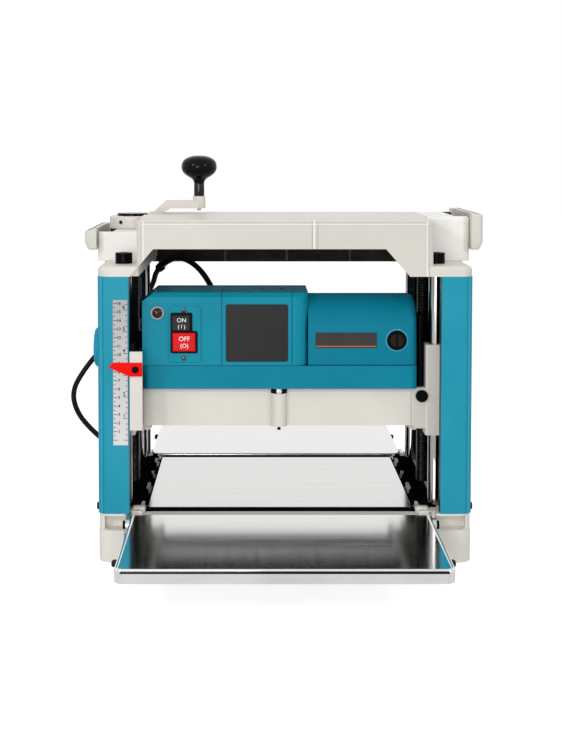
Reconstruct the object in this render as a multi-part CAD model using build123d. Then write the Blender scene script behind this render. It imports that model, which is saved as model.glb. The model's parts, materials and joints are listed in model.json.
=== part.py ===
from build123d import *
import math
import os

# Benchtop thickness planer. Millimetres, +X right, +Y to the outfeed side, +Z up.
# The origin is at the bottom centre of the machine, on the bench.

# Overall sizes
body_width = 437.0
body_depth = 342.0
base_height = 56.0
cover_height = 278.0
frame_height = 66.0
tables_length = 771.0
grips_width = 483.0

# Work passage
work_x = -5.0
side_room = 66.5
opening_at_rest = 87.0
table_drop = 1.0

# Clearances
running_gap = 0.05
slide_gap = 0.06
button_gap = 0.4
free_gap = 0.5
belt_gap = 0.3

# Base casting
base_inset = 0.5
base_front = 7.0
base_back = 1.0
base_corner = 18.0
upper_corner = 14.0
base_wall = 12.0
base_roof = 8.0
hollow_inset = 23.0
ledge_height = 38.0
bed_side_gap = 5.5
notch_inset = 13.0
notch_side_gap = 7.5
bench_hole_r = 4.5
bench_recess_out = 6.0
bench_recess_back = 9.0
bench_recess_top = 53.0
bench_hole_side = 13.5
bench_hole_end = 5.0

# Main table
table_margin = 5.5
table_end_gap = 36.0
table_thick = 4.0
table_corner = 3.0

# Folding tables and their hinges
fold_margin = 22.5
fold_overlap = 5.0
fold_lip = 14.0
fold_sheet = 2.5
fold_corner = 10.0
fold_level = 1.0
hinge_out = 15.0
hinge_drop = 7.0
hinge_pin_r = 4.0
hinge_pin_reach = 5.5
hinge_head_r = 5.0
hinge_head = 3.5
bracket_thick = 4.5
bracket_eye_r = 8.5
bracket_reach = 30.0
bracket_foot = 3.0
bracket_foot_width = 20.0
stop_tab_depth = 10.0
stop_tab_width = 16.0
stop_tab_thick = 5.2
stop_tab_gap = 0.3

# Side covers
cover_width = 37.0
cover_wall = 3.0
cover_corner = 10.0
cover_inner_corner = 1.5
cover_lip = 15.0
side_boss_r = 23.5
side_boss_proud = 5.5
side_boss_inset = 31.0
side_boss_rise = 192.0
cover_screw_r = 4.5
cover_screw_head = 3.0
cover_screw_inset = 19.0
cover_screw_rise = 5.0

# Guide posts and lead screws
post_side = 32.5
post_end = 46.0
post_r = 9.0
post_bottom = 12.0
post_sink = 6.0
post_boss_r = 16.0
bolt_shank_r = 6.0
bolt_shank = 24.0
bolt_head_r = 10.2
bolt_head = 13.0
bolt_socket_r = 5.5
bolt_relief = 1.0
screw_r = 8.0
screw_bottom = 12.0
bush_r = 10.5
bush_boss_r = 14.0
bush_bottom = 30.0
sprocket_r = 10.0
sprocket_z0 = 14.0
sprocket_z1 = 20.0
lift_chain_thick = 4.0

# Top frame
flange_thick = 12.0
flange_corner = 14.0
frame_front_wall = 7.0
frame_side_wall = 2.5
frame_plate = 9.0
frame_rim = 5.0
rear_slope_from = 40.0
rear_slope_drop = 5.8
beam_step = 45.5
beam_corner = 12.0
wing_step = 83.0
wing_foot = 12.0
wing_corner = 10.0
crank_deck_drop = 19.0
crank_well_r = 42.0
crank_floor_r = 47.0
crank_floor_thick = 5.0
arch_height = 32.0
arch_left_foot = 7.0
arch_left_knee = 20.0
arch_right_knee = 56.0
arch_right_foot = 28.0
rear_beam_reach = 5.0
rear_beam_thick = 8.0
rear_beam_drop = 9.0
rib_thick = 5.0
rib_drop = 5.0
seam_x = 31.0
seam_width = 7.0
seam_depth = 1.0

# Carrying grips
grip_thick = 14.5
grip_overhang = 10.0
grip_end_round = 7.0
grip_rim = 2.5
grip_taper = 4.0
grip_taper_rise = 9.0
finger_half = 77.0
finger_depth = 18.0
grip_slot = 4.0
left_grip_lip = 2.5
left_grip_height = 23.5
right_grip_height = 43.0
right_grip_lip = 3.0

# Crank
crank_radius = 85.0
hub_r = 29.0
hub_height = 15.5
arm_width = 18.0
arm_thick = 6.0
arm_start = 20.0
arm_knee_in = 28.0
arm_knee_out = 49.0
arm_lift = 9.5
outer_thick = 10.0
cap_r = 19.5
cap_thick = 3.5
tip_boss_r = 8.0
tip_boss_height = 15.5
tip_screw_r = 2.5
tip_screw = 3.0
knob_pin_r = 4.0
knob_pin_length = 40.0
knob_gap = 0.3
knob_stem_r = 6.75
knob_stem = 10.7
knob_height = 51.7
knob_top_r = 9.8
knob_belly_r = 23.0

# Cutter and feed rollers
drum_r = 27.0
cutting_r = 28.0
drum_side_gap = 1.5
drum_shaft_r = 10.0
drum_shaft_left = 4.5
knife_flat = 20.0
knife_thick = 3.0
knife_back = 6.0
knife_edge = 16.0
clamp_thick = 3.0
clamp_edge = 8.0
roller_r = 20.0
roller_y = 62.0
roller_drop = 1.0
roller_shaft_r = 8.0
roller_side_gap = 1.0
bearing_r = 17.0
roller_bush_r = 11.0

# Head casting
cheek_thick = 7.5
cheek_bottom = 5.0
cheek_overhang = 5.0
cheek_rise = 4.0
ear_half = 16.0
beam_left_over = 4.0
beam_right_over = 11.0
beam_out = 12.0
beam_thick = 15.0
beam_bottom = 11.5
beam_height = 45.2
beam_groove_inset = 2.0
beam_groove = 1.2
deck_thick = 8.0
deck_step_gap = 5.0
step_wall = 5.0
rear_deck_rise = 12.3
rear_beam_inset = 7.0
rear_beam_low = 18.0
sleeve_half = 13.5
sleeve_corner = 3.0
sleeve_length = 108.0
web_thick = 9.0
web_bottom = 8.0
rear_web_top = 103.0
nut_arm_z = 94.0
nut_arm_thick = 10.0
nut_arm_half = 15.0
nut_r = 13.0
nut_bottom = 86.0
nut_height = 22.0
nut_gap = 0.1
gauge_offset = 1.5
gauge_boss_r = 9.5
gauge_pin_r = 2.0
chip_slot_front = 20.0
chip_slot_rear = 50.0
chip_slot_side = 7.0

# Motor, switch housing and cowl
motor_inset = 24.0
motor_rise = 125.0
barrel_r = 41.0
barrel_wall = 3.5
barrel_length = 129.0
barrel_round = 8.0
barrel_end_r = 30.0
barrel_end_wall = 4.0
saddle_half = 22.0
housing_over = 1.0
housing_out = 20.0
housing_depth = 95.0
cowl_step = 2.0
housing_wall = 3.0
housing_bottom = 84.0
housing_top = 170.5
housing_slope_x = 13.0
housing_slope_z = 10.0
housing_bevel = 5.0
housing_side_round = 16.0
cowl_round = 8.0
stator_from = 27.0
stator_length = 55.0
stator_bore_r = 26.5
rotor_r = 25.5
rotor_from = 29.0
rotor_length = 51.0
commutator_r = 15.0
commutator_from = 94.0
commutator_length = 20.0
motor_shaft_r = 6.0
motor_shaft_over = 8.0
fan_from = 8.0
fan_length = 12.0
fan_r = 36.0
fan_blades = 8
fan_disc = 3.0
brush_cap_r = 11.6
brush_from = 104.8
brush_offset = 11.0
brush_proud = 2.0
brush_slot = 2.4

# Belt drive at the right, feed drive at the left
pulley_gap = 2.0
pulley_length = 6.0
belt_inset = 0.5
belt_thick = 3.0
cutter_pulley_r = 18.0
motor_pulley_r = 11.0
belt_cover_room = 1.7
belt_cover_wall = 1.5
belt_cover_reach = 9.8
chain_width = 4.5
chain_gap = 9.0
chain_inset = 0.5
chain_thick = 3.0
feed_sprocket_r = 12.0
drive_sprocket_r = 10.0
drive_sprocket_rise = 70.0
gear_case_thick = 7.5
gear_case_half = 34.0
gear_case_bottom = 8.0
gear_case_height = 82.0
gear_case_round = 9.0

# Controls on the head
plate_from = 32.0
plate_width = 37.0
plate_bottom = 89.0
plate_top = 155.0
plate_thick = 2.0
plate_corner = 4.0
on_from = 35.0
on_width = 22.0
on_bottom = 126.0
on_top = 145.0
off_from = 36.0
off_width = 27.0
off_bottom = 102.0
off_top = 124.0
button_proud = 5.0
button_length = 14.0
button_round = 1.5
lamp_from = 18.0
lamp_rise = 147.0
lamp_r = 8.0
lamp_lens_r = 6.0
lamp_ring = 2.0
lamp_proud = 3.5
pointer_reach = 37.0
pointer_length = 38.0
pointer_bottom = 76.0
pointer_height = 16.0
pointer_nose = 4.0
pointer_slope = 24.0
pointer_gap = 1.0
pointer_thick = 2.0
pointer_screw_from = 30.0
pointer_screw_r = 4.0
pointer_screw_head = 2.0
pointer_arm_from = 23.2
pointer_arm_width = 8.8
bracket_plate_low = 12.5
bracket_plate_top = 104.5
bracket_plate = 5.0
scale_inset = 18.5
scale_width = 17.0
scale_bottom = 137.0
scale_height = 170.0
scale_thick = 0.5
stop_side = 5.5
stop_rod_inset = 1.0
stop_rod_r = 4.0
stop_rod_length = 135.0
stop_block_in = 3.0
stop_block_width = 17.0
stop_block_depth = 9.0
stop_block_bottom = 8.0
stop_button_side = 6.0
stop_button_rise = 47.0
stop_button_r = 7.2
stop_button_proud = 5.0
stop_button_sink = 4.0
stop_button_travel = 3.0

# Chip hood
hood_wall = 2.5
hood_side = 5.0
hood_gap = 10.0
hood_brow = 60.0
hood_over = 3.0
hood_low = 21.0
hood_high = 51.0

# Mains cord
cord_r = 3.75
relief_from = 83.0
relief_rise = 143.0
relief_length = 30.0
relief_root_r = 8.0
relief_tip_r = 5.2
loop_rise = 51.0
tail_swing = 133.0
tail_lead = 45.0
hook_side = 9.0
hook_end = 28.0
hook_drop = 14.0
hook_wall = 2.5
hook_length = 6.0
hook_run = 17.0
hook_arm_half = 3.0
hook_arm_low = 3.0
hook_arm_high = 10.0
coil_right = 134.0
coil_behind = 157.0
coil_inner_r = 30.0
coil_turns = 3
coil_pitch = 8.3
coil_layer = 8.3
coil_lead = 62.0
plug_length = 38.0
plug_width = 34.0
plug_height = 24.0
plug_corner = 10.0
plug_pin_r = 2.4
plug_pin = 19.0
plug_pins_apart = 19.0

# Places worked out from those sizes
half_width = body_width / 2
half_depth = body_depth / 2
planing_width = body_width - 2 * side_room
table_width = planing_width + 2 * table_margin
table_length = body_depth - 2 * table_end_gap
fold_width = planing_width + 2 * fold_margin
fold_inner_y = half_depth - fold_overlap
hinge_y = half_depth + hinge_out
hollow_half = half_depth - hollow_inset
notch_y = half_depth - notch_inset
bench_hole_x = half_width - bench_hole_side
bench_hole_y = half_depth - bench_hole_end
post_x = half_width - post_side
post_y = half_depth - post_end
side_boss_y = side_boss_inset - half_depth
side_boss_z = base_height + side_boss_rise
cover_screw_y = half_depth - cover_screw_inset
cover_screw_z = base_height + cover_screw_rise
beam_half = half_width - beam_step
rear_beam_half = beam_half + rear_beam_reach
wing_half = grips_width / 2 - grip_thick
wing_depth = half_depth - wing_step
grip_half_length = wing_depth + grip_overhang
cover_top = base_height + cover_height
frame_top = cover_top + frame_height
flange_top = cover_top + flange_thick
table_top = base_height - table_drop
deck = table_top - table_thick
cut_z = table_top + opening_at_rest
drum_z = cut_z + cutting_r
roller_z = cut_z - roller_drop + roller_r
left_x = work_x - post_x
right_x = work_x + post_x
drum_half = planing_width / 2 + 1
cheek_inner = drum_half + drum_side_gap
cheek_outer = cheek_inner + cheek_thick
head_left = work_x - cheek_outer
head_right = work_x + cheek_outer
head_deck = cut_z + beam_bottom + beam_height
rear_deck = head_deck + rear_deck_rise
cheek_half = post_y + cheek_overhang
beam_left = head_left - beam_left_over
beam_right = head_right + beam_right_over
beam_front = -post_y - beam_out
beam_groove_x = planing_width / 2 - beam_groove_inset
rear_beam_y = post_y - rear_beam_inset
gauge_x = work_x - gauge_offset
chip_slot_half = planing_width / 2 - chip_slot_side
motor_y = motor_inset - post_y
motor_z = cut_z + motor_rise
barrel_left = head_right - barrel_length
stator_left = barrel_left + stator_from
stator_right = stator_left + stator_length
rotor_left = barrel_left + rotor_from
rotor_right = rotor_left + rotor_length
commutator_left = barrel_left + commutator_from
commutator_right = commutator_left + commutator_length
motor_shaft_left = barrel_left - motor_shaft_over
fan_left = barrel_left + fan_from
fan_right = fan_left + fan_length
brush_x = barrel_left + brush_from
housing_left = head_left - housing_over
housing_front = -post_y - housing_out
housing_rear = housing_front + housing_depth
cowl_rear = housing_rear - cowl_step
deck_step_y = housing_rear + deck_step_gap
pulley_left = head_right + pulley_gap
pulley_right = pulley_left + pulley_length
belt_cover_end = head_right + belt_cover_reach
chain_right = head_left - chain_gap
chain_left = chain_right - chain_width
gear_case_left = head_left - gear_case_thick
gear_case_top = gear_case_bottom + gear_case_height
plate_left = housing_left + plate_from
plate_right = plate_left + plate_width
on_left = housing_left + on_from
on_right = on_left + on_width
off_left = housing_left + off_from
off_right = off_left + off_width
lamp_x = housing_left + lamp_from
pointer_left = head_left - pointer_reach
pointer_right = pointer_left + pointer_length
pointer_slope_end = pointer_left + pointer_slope
pointer_screw_x = pointer_left + pointer_screw_from
pointer_arm_left = pointer_left + pointer_arm_from
pointer_arm_right = pointer_arm_left + pointer_arm_width
scale_left = scale_inset - half_width
stop_x = head_right + stop_side
stop_rod_y = stop_rod_inset - post_y
stop_block_left = head_right - stop_block_in
stop_block_right = stop_block_left + stop_block_width
stop_block_rear = stop_block_depth - post_y
stop_button_x = head_right + stop_button_side
hood_half = planing_width / 2 - hood_side
hood_front = housing_rear + hood_gap
hood_rear = post_y + hood_over
relief_x = housing_left + relief_from
hook_point = (hook_side - beam_half, half_depth - hook_end, cover_top - hook_drop)
coil_x = hook_point[0] + coil_right
coil_y = hook_point[1] + coil_behind
crank_deck = frame_top - crank_deck_drop
left_grip_top = crank_deck + left_grip_lip
left_grip_bottom = left_grip_top - left_grip_height
right_grip_top = frame_top + right_grip_lip
right_grip_bottom = right_grip_top - right_grip_height
hub_bottom = crank_deck + free_gap
hub_top = hub_bottom + hub_height
tip_x = left_x + crank_radius
tip_bottom = hub_top + arm_lift
knob_foot = tip_bottom + tip_boss_height + knob_gap
fold_top = table_top - fold_level
fold_bottom = fold_top - fold_lip
fold_half = fold_width / 2
hinge_z = fold_top - hinge_drop
frame_room_left = -beam_half + frame_side_wall
frame_room_right = beam_half - frame_side_wall - 1
frame_room_y = half_depth - frame_front_wall
frame_ceiling = frame_top - frame_plate
pointer_back = -half_depth - pointer_gap


def box(x0, x1, y0, y1, z0, z1):
    """A block between two corners, given in either order."""
    middle = Pos((x0 + x1) / 2, (y0 + y1) / 2, (z0 + z1) / 2)
    return middle * Box(abs(x1 - x0), abs(y1 - y0), abs(z1 - z0))


def rod_x(y, z, x0, x1, r):
    """A round bar along X."""
    return Pos((x0 + x1) / 2, y, z) * Rot(0, 90, 0) * Cylinder(r, abs(x1 - x0))


def rod_y(x, z, y0, y1, r):
    """A round bar along Y."""
    return Pos(x, (y0 + y1) / 2, z) * Rot(90, 0, 0) * Cylinder(r, abs(y1 - y0))


def rod_z(x, y, z0, z1, r):
    """A round bar along Z."""
    return Pos(x, y, (z0 + z1) / 2) * Cylinder(r, abs(z1 - z0))


def slab(outline, z0, z1):
    """A flat outline in X and Y raised from z0 to z1."""
    return extrude(Pos(0, 0, z0) * outline, z1 - z0)


def side_profile(points, x0, x1):
    """An outline of (y, z) points carried from x0 to x1."""
    face = make_face(Polyline(*[(x0, y, z) for y, z in points], close=True))
    return extrude(face, x1 - x0, dir=(1, 0, 0))


def front_profile(points, y0, y1):
    """An outline of (x, z) points carried from y0 to y1."""
    face = make_face(Polyline(*[(x, y0, z) for x, z in points], close=True))
    return extrude(face, y1 - y0, dir=(0, 1, 0))


def belt_shape(circles, x0, x1):
    """The shape inside an endless belt round circles (y, z, r), from x0 to x1."""
    turned = Plane(origin=(x0, 0, 0), x_dir=(0, 1, 0), z_dir=(1, 0, 0))
    rings = [Pos(y, z) * Circle(r) for y, z, r in circles]
    hull = make_hull([ring.edge() for ring in rings])
    return extrude(turned * hull, x1 - x0)


def grown(circles, amount):
    """The same circles with larger radii."""
    return [(y, z, r + amount) for y, z, r in circles]


def group(solids):
    """Separate solids kept together under one name."""
    return Compound(children=list(solids))


def four_corners(make):
    """A piece made for the left and the right, each with its mirror image at the rear."""
    fronts = [make(-1), make(1)]
    return group(fronts + [mirror(piece, Plane.XZ) for piece in fronts])


def upright_edges(shape, x0, x1, y0, y1):
    """The vertical edges of a shape inside a window of X and Y."""
    found = []
    for edge in shape.edges().filter_by(Axis.Z):
        middle = edge.center()
        if x0 <= middle.X <= x1 and y0 <= middle.Y <= y1:
            found.append(edge)
    return found


def top_edges(shape):
    """The edges round the highest face of a shape."""
    return shape.faces().sort_by(Axis.Z)[-1].edges()


def end_rim(shape, axis, last):
    """The circular edge at one end of a round bar."""
    rims = shape.edges().filter_by(GeomType.CIRCLE).sort_by(axis)
    return rims[-1 if last else 0]


# Base: a hollow casting with a plinth, a set-back top, and bosses for posts and screws
def make_base():
    width = body_width - 2 * base_inset
    plinth_depth = body_depth + 2 * base_front
    plinth = RectangleRounded(width, plinth_depth, base_corner)
    upper = RectangleRounded(width, body_depth - 2 * base_back, upper_corner)
    base = slab(plinth, 0, ledge_height) + slab(upper, ledge_height, base_height)
    hollow = RectangleRounded(width - 2 * base_wall, 2 * hollow_half, base_wall / 2)
    base -= slab(hollow, 0, deck - base_roof)
    bed_half = table_width / 2 + bed_side_gap
    base -= box(work_x - bed_half, work_x + bed_half, -half_depth, half_depth, deck, base_height)
    notch_half = fold_half + notch_side_gap
    for side in (-1, 1):
        base -= box(
            work_x - notch_half, work_x + notch_half,
            side * notch_y, side * plinth_depth, 0, base_height,
        )
    for x, y in post_places():
        base += rod_z(x, y, 0, deck, post_boss_r)
        base -= rod_z(x, y, post_bottom, base_height, post_r)
    for x in (left_x, right_x):
        base += rod_z(x, 0, bush_bottom, deck, bush_boss_r)
        base -= rod_z(x, 0, bush_bottom, base_height, bush_r)
    for x in (-bench_hole_x, bench_hole_x):
        for y in (-bench_hole_y, bench_hole_y):
            base -= rod_z(x, y, 0, ledge_height, bench_hole_r)
            base -= box(
                x + math.copysign(bench_recess_out, x), work_x + math.copysign(notch_half, x),
                y - math.copysign(bench_recess_back, y), 2 * y, ledge_height, bench_recess_top,
            )
    return base


# Main table: the polished bed
def make_main_table():
    outline = Pos(work_x, 0) * RectangleRounded(table_width, table_length, table_corner)
    return slab(outline, deck, table_top)


# Folding tables: pressed sheet with turned-down lips
def make_fold_table():
    outer_y = tables_length / 2
    length = outer_y - fold_inner_y
    middle = Pos(work_x, -(outer_y + fold_inner_y) / 2)
    tray = slab(middle * RectangleRounded(fold_width, length, fold_corner), fold_bottom, fold_top)
    tray = fillet(top_edges(tray), fold_sheet)
    inside = RectangleRounded(
        fold_width - 2 * fold_sheet, length - 2 * fold_sheet, fold_corner - fold_sheet
    )
    tray -= slab(middle * inside, fold_bottom, fold_top - fold_sheet)
    bore = hinge_pin_r + running_gap
    return tray - rod_x(-hinge_y, hinge_z, work_x - fold_width, work_x + fold_width, bore)


# Hinge brackets: a plate beside each table, with a foot on the base and a stop tab
def make_hinge_bracket(side):
    inner = work_x + side * (fold_half + free_gap)
    outer = inner + side * bracket_thick
    low = hinge_z - bracket_eye_r
    tip_y = -hinge_y - bracket_reach
    tab_top = fold_bottom - stop_tab_gap
    tab_low = tab_top - stop_tab_thick
    plate = box(inner, outer, -hinge_y, -notch_y, low, hinge_z + bracket_eye_r)
    plate += rod_x(-hinge_y, hinge_z, inner, outer, bracket_eye_r)
    plate += box(inner, outer, tip_y, -hinge_y, tab_low, hinge_z - hinge_pin_r)
    plate += box(
        outer, outer - side * bracket_foot_width,
        -notch_y - bracket_foot, -notch_y, low, deck - free_gap,
    )
    plate += box(
        outer, inner - side * stop_tab_width, tip_y, tip_y + stop_tab_depth, tab_low, tab_top
    )
    return plate - rod_x(-hinge_y, hinge_z, inner, outer, hinge_pin_r)


def make_hinge_pin(side):
    inner = work_x + side * (fold_half - hinge_pin_reach)
    seat = work_x + side * (fold_half + free_gap + bracket_thick)
    pin = rod_x(-hinge_y, hinge_z, inner, seat, hinge_pin_r)
    return pin + rod_x(-hinge_y, hinge_z, seat, seat + side * hinge_head, hinge_head_r)


# Side covers: deep channels that make two corner columns and the panel between them
def make_cover(side):
    outer = side * half_width
    inner = side * (half_width - cover_width)
    wall = side * cover_wall
    cover = box(inner, outer, -half_depth, half_depth, base_height, cover_top)
    cover = fillet(column_edges(cover, outer), cover_corner)
    cover = fillet(column_edges(cover, inner), cover_inner_corner)
    room_y = half_depth - cover_wall
    room = box(inner + wall, outer - wall, -room_y, room_y, base_height, cover_top)
    room = fillet(column_edges(room, outer - wall), cover_corner - cover_wall)
    mouth_y = half_depth - cover_lip
    return cover - room - box(inner, inner + wall, -mouth_y, mouth_y, base_height, cover_top)


def column_edges(shape, x):
    """The vertical edges of a shape at one X."""
    return upright_edges(shape, x - 0.1, x + 0.1, -half_depth, half_depth)


def make_left_cover():
    proud = -half_width - side_boss_proud
    boss = rod_x(side_boss_y, side_boss_z, proud, -half_width + cover_wall, side_boss_r)
    return make_cover(-1) + fillet(end_rim(boss, Axis.X, False), side_boss_proud - 1)


def make_cover_screws():
    screws = []
    for side in (-1, 1):
        for y in (-cover_screw_y, cover_screw_y):
            face = side * half_width
            tip = side * (half_width + cover_screw_head)
            head = rod_x(y, cover_screw_z, face, tip, cover_screw_r)
            screws.append(fillet(end_rim(head, Axis.X, side > 0), cover_screw_head / 2))
    return group(screws)


# Guide posts and the bolts in their tops
def post_places():
    """The four posts' X and Y."""
    return [(x, y) for x in (left_x, right_x) for y in (-post_y, post_y)]


def make_posts():
    top = cover_top + post_sink
    posts = []
    for x, y in post_places():
        post = rod_z(x, y, post_bottom, top, post_r)
        posts.append(post - rod_z(x, y, flange_top - bolt_shank, top, bolt_shank_r))
    return group(posts)


def make_post_bolts():
    top = flange_top + bolt_head
    bolts = []
    for x, y in post_places():
        head = rod_z(x, y, flange_top, top, bolt_head_r)
        head = fillet(end_rim(head, Axis.Z, True), bolt_relief)
        socket = Pos(x, y) * RegularPolygon(bolt_socket_r, 6)
        head -= slab(socket, flange_top + bolt_head / 2, top)
        bolts.append(head + rod_z(x, y, flange_top - bolt_shank, flange_top, bolt_shank_r))
    return group(bolts)


# Top frame: a flange on the columns, a cross-shaped hood over it and an arched front
def make_top_frame():
    flange = slab(RectangleRounded(body_width, body_depth, flange_corner), cover_top, flange_top)
    flange = fillet(top_edges(flange), frame_rim)
    beam = slab(RectangleRounded(2 * beam_half, body_depth, beam_corner), cover_top, frame_top)
    beam = fillet(top_edges(beam), frame_rim)
    wing_low = cover_top + wing_foot
    wing = slab(RectangleRounded(2 * wing_half, 2 * wing_depth, wing_corner), wing_low, frame_top)
    wing = fillet(top_edges(wing), frame_rim)
    foot = slab(RectangleRounded(body_width, 2 * wing_depth, wing_corner), cover_top, wing_low)
    frame = flange + beam + wing + foot
    frame -= box(-body_width, -beam_half, -half_depth, half_depth, crank_deck, frame_top)
    frame -= rod_z(left_x, 0, crank_deck, frame_top, crank_well_r)
    frame -= box(
        frame_room_left, frame_room_right, -frame_room_y, frame_room_y, cover_top, frame_ceiling
    )
    floor = rod_z(left_x, 0, crank_deck - crank_floor_thick, crank_deck, crank_floor_r)
    frame += floor & box(-wing_half, 0, -half_depth, half_depth, cover_top, frame_top)
    frame += box(
        -rear_beam_half, rear_beam_half, half_depth - rear_beam_thick, half_depth,
        cover_top - rear_beam_drop, flange_top,
    )
    for x in (-rear_beam_half / 3, rear_beam_half / 3):
        frame += box(
            x - rib_thick / 2, x + rib_thick / 2, -frame_room_y, frame_room_y,
            frame_ceiling - rib_drop, frame_ceiling,
        )
    for cut in frame_hollows() + frame_bores():
        frame -= cut
    return frame


def frame_hollows():
    """Hollows of the top frame: behind the grips, the rear slope, the arch and its seam."""
    cuts = []
    for side in (-1, 1):
        cuts.append(box(
            side * (wing_half - finger_depth), side * 2 * wing_half,
            -finger_half, finger_half, cover_top + wing_foot, frame_top,
        ))
    slope = [
        (rear_slope_from, frame_top), (half_depth, frame_top - rear_slope_drop),
        (half_depth, frame_top),
    ]
    cuts.append(side_profile(slope, -wing_half, wing_half))
    top = cover_top + arch_height
    arch = [
        (-beam_half - arch_left_foot, cover_top), (arch_left_knee - beam_half, top),
        (beam_half - arch_right_knee, top), (beam_half - arch_right_foot, cover_top),
    ]
    cuts.append(front_profile(arch, -half_depth, -frame_room_y))
    cuts.append(box(
        seam_x, seam_x + seam_width, -half_depth, -half_depth + seam_depth, top, frame_top
    ))
    return cuts


def frame_bores():
    """Holes of the top frame: posts, bolts with room for their heads, and bushes."""
    cuts = []
    for x, y in post_places():
        cuts.append(rod_z(x, y, cover_top, cover_top + post_sink, post_r))
        cuts.append(rod_z(x, y, cover_top, flange_top, bolt_shank_r))
        cuts.append(rod_z(x, y, flange_top, frame_top, bolt_head_r + bolt_relief))
    cuts.append(rod_z(left_x, 0, cover_top, crank_deck, bush_r))
    cuts.append(rod_z(right_x, 0, cover_top, cover_top + wing_foot, bush_r))
    return cuts


# Carrying grips: a bar along each side with a tapered foot and a finger slot behind it
def make_grip(side, bottom, top):
    outer = side * grips_width / 2
    inner = side * wing_half
    outline = [
        (inner, bottom), (outer - side * grip_taper, bottom), (outer, bottom + grip_taper_rise),
        (outer, top), (inner, top),
    ]
    grip = front_profile(outline, -grip_half_length, grip_half_length)
    corners = [
        edge for edge in grip.edges()
        if abs(edge.center().X) > wing_half + 1 and abs(edge.tangent_at(0).Z) > 0.5
    ]
    grip = fillet(corners, grip_end_round)
    grip -= box(inner, inner + side * grip_slot, -finger_half, finger_half, bottom, top)
    rims = [
        edge for edge in grip.edges().filter_by(Axis.Y)
        if abs(edge.center().X) > wing_half + grip_slot + 1
    ]
    return fillet(rims, grip_rim)


# Crank: hub, cranked arm and cap on the left lead screw, with a knob on the arm's pin
def make_crank_arm():
    hub = rod_z(left_x, 0, hub_bottom, hub_top, hub_r)
    hub = fillet(end_rim(hub, Axis.Z, True), 2)
    arm_low = hub_top - arm_thick / 2
    knee_in = left_x + arm_knee_in
    knee_out = left_x + arm_knee_out
    outline = [
        (left_x + arm_start, arm_low), (knee_in, arm_low), (knee_out, tip_bottom),
        (tip_x, tip_bottom), (tip_x, tip_bottom + outer_thick),
        (knee_out - arm_thick, tip_bottom + outer_thick),
        (knee_in - arm_thick / 2, arm_low + arm_thick), (left_x + arm_start, arm_low + arm_thick),
    ]
    arm = front_profile(outline, -arm_width / 2, arm_width / 2)
    arm &= box(left_x, tip_x, -half_depth, half_depth, 0, frame_top + knob_height)
    boss_top = tip_bottom + tip_boss_height
    boss = rod_z(tip_x, 0, tip_bottom, boss_top, tip_boss_r)
    boss = fillet(end_rim(boss, Axis.Z, True), 1)
    pin = rod_z(tip_x, 0, tip_bottom - tip_screw, tip_bottom, tip_screw_r)
    pin += rod_z(tip_x, 0, boss_top, boss_top + knob_pin_length, knob_pin_r)
    return hub + arm + boss + pin - rod_z(left_x, 0, hub_bottom, hub_top, screw_r)


def make_crank_cap():
    cap = rod_z(left_x, 0, hub_top, hub_top + cap_thick, cap_r)
    return fillet(end_rim(cap, Axis.Z, True), cap_thick / 2)


def make_crank_knob():
    top = knob_foot + knob_height
    neck = (knob_stem_r, knob_foot + knob_stem)
    shoulder = (knob_top_r, top)
    belly = [
        shoulder, (knob_belly_r - 3.7, top - 5.5), (knob_belly_r, top - 14),
        (knob_belly_r - 1.0, top - 21.5), (knob_belly_r - 5.5, top - 28),
        (knob_stem_r + 4.6, top - 33), (knob_stem_r + 0.9, top - 37.5), neck,
    ]
    outline = [
        Line((0, top), shoulder),
        Spline(*belly, tangents=[(1, -0.1), (0, -1)]),
        Line(neck, (knob_stem_r, knob_foot)),
        Line((knob_stem_r, knob_foot), (0, knob_foot)),
        Line((0, knob_foot), (0, top)),
    ]
    face = Plane.XZ * make_face(outline)
    knob = Pos(tip_x, 0, 0) * revolve(face, Axis.Z)
    bore_top = knob_foot + knob_pin_length + free_gap
    return knob - rod_z(tip_x, 0, knob_foot, bore_top, knob_pin_r + running_gap)


# Lead screws, each with a sprocket at its foot, and their bushes
def make_screw(x, top):
    screw = rod_z(x, 0, screw_bottom, top, screw_r)
    return screw + rod_z(x, 0, sprocket_z0, sprocket_z1, sprocket_r)


def make_screw_bushes():
    bore = screw_r + running_gap
    spans = [
        (left_x, bush_bottom, deck), (right_x, bush_bottom, deck),
        (left_x, cover_top, crank_deck), (right_x, cover_top, cover_top + wing_foot),
    ]
    return group(
        rod_z(x, 0, z0, z1, bush_r) - rod_z(x, 0, z0, z1, bore) for x, z0, z1 in spans
    )


def make_lift_chain():
    inner = sprocket_r + belt_gap
    outer = inner + lift_chain_thick
    loop = SlotCenterToCenter(2 * post_x, 2 * outer) - SlotCenterToCenter(2 * post_x, 2 * inner)
    return slab(Pos(work_x, 0) * loop, sprocket_z0 + free_gap, sprocket_z1 - free_gap)


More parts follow.
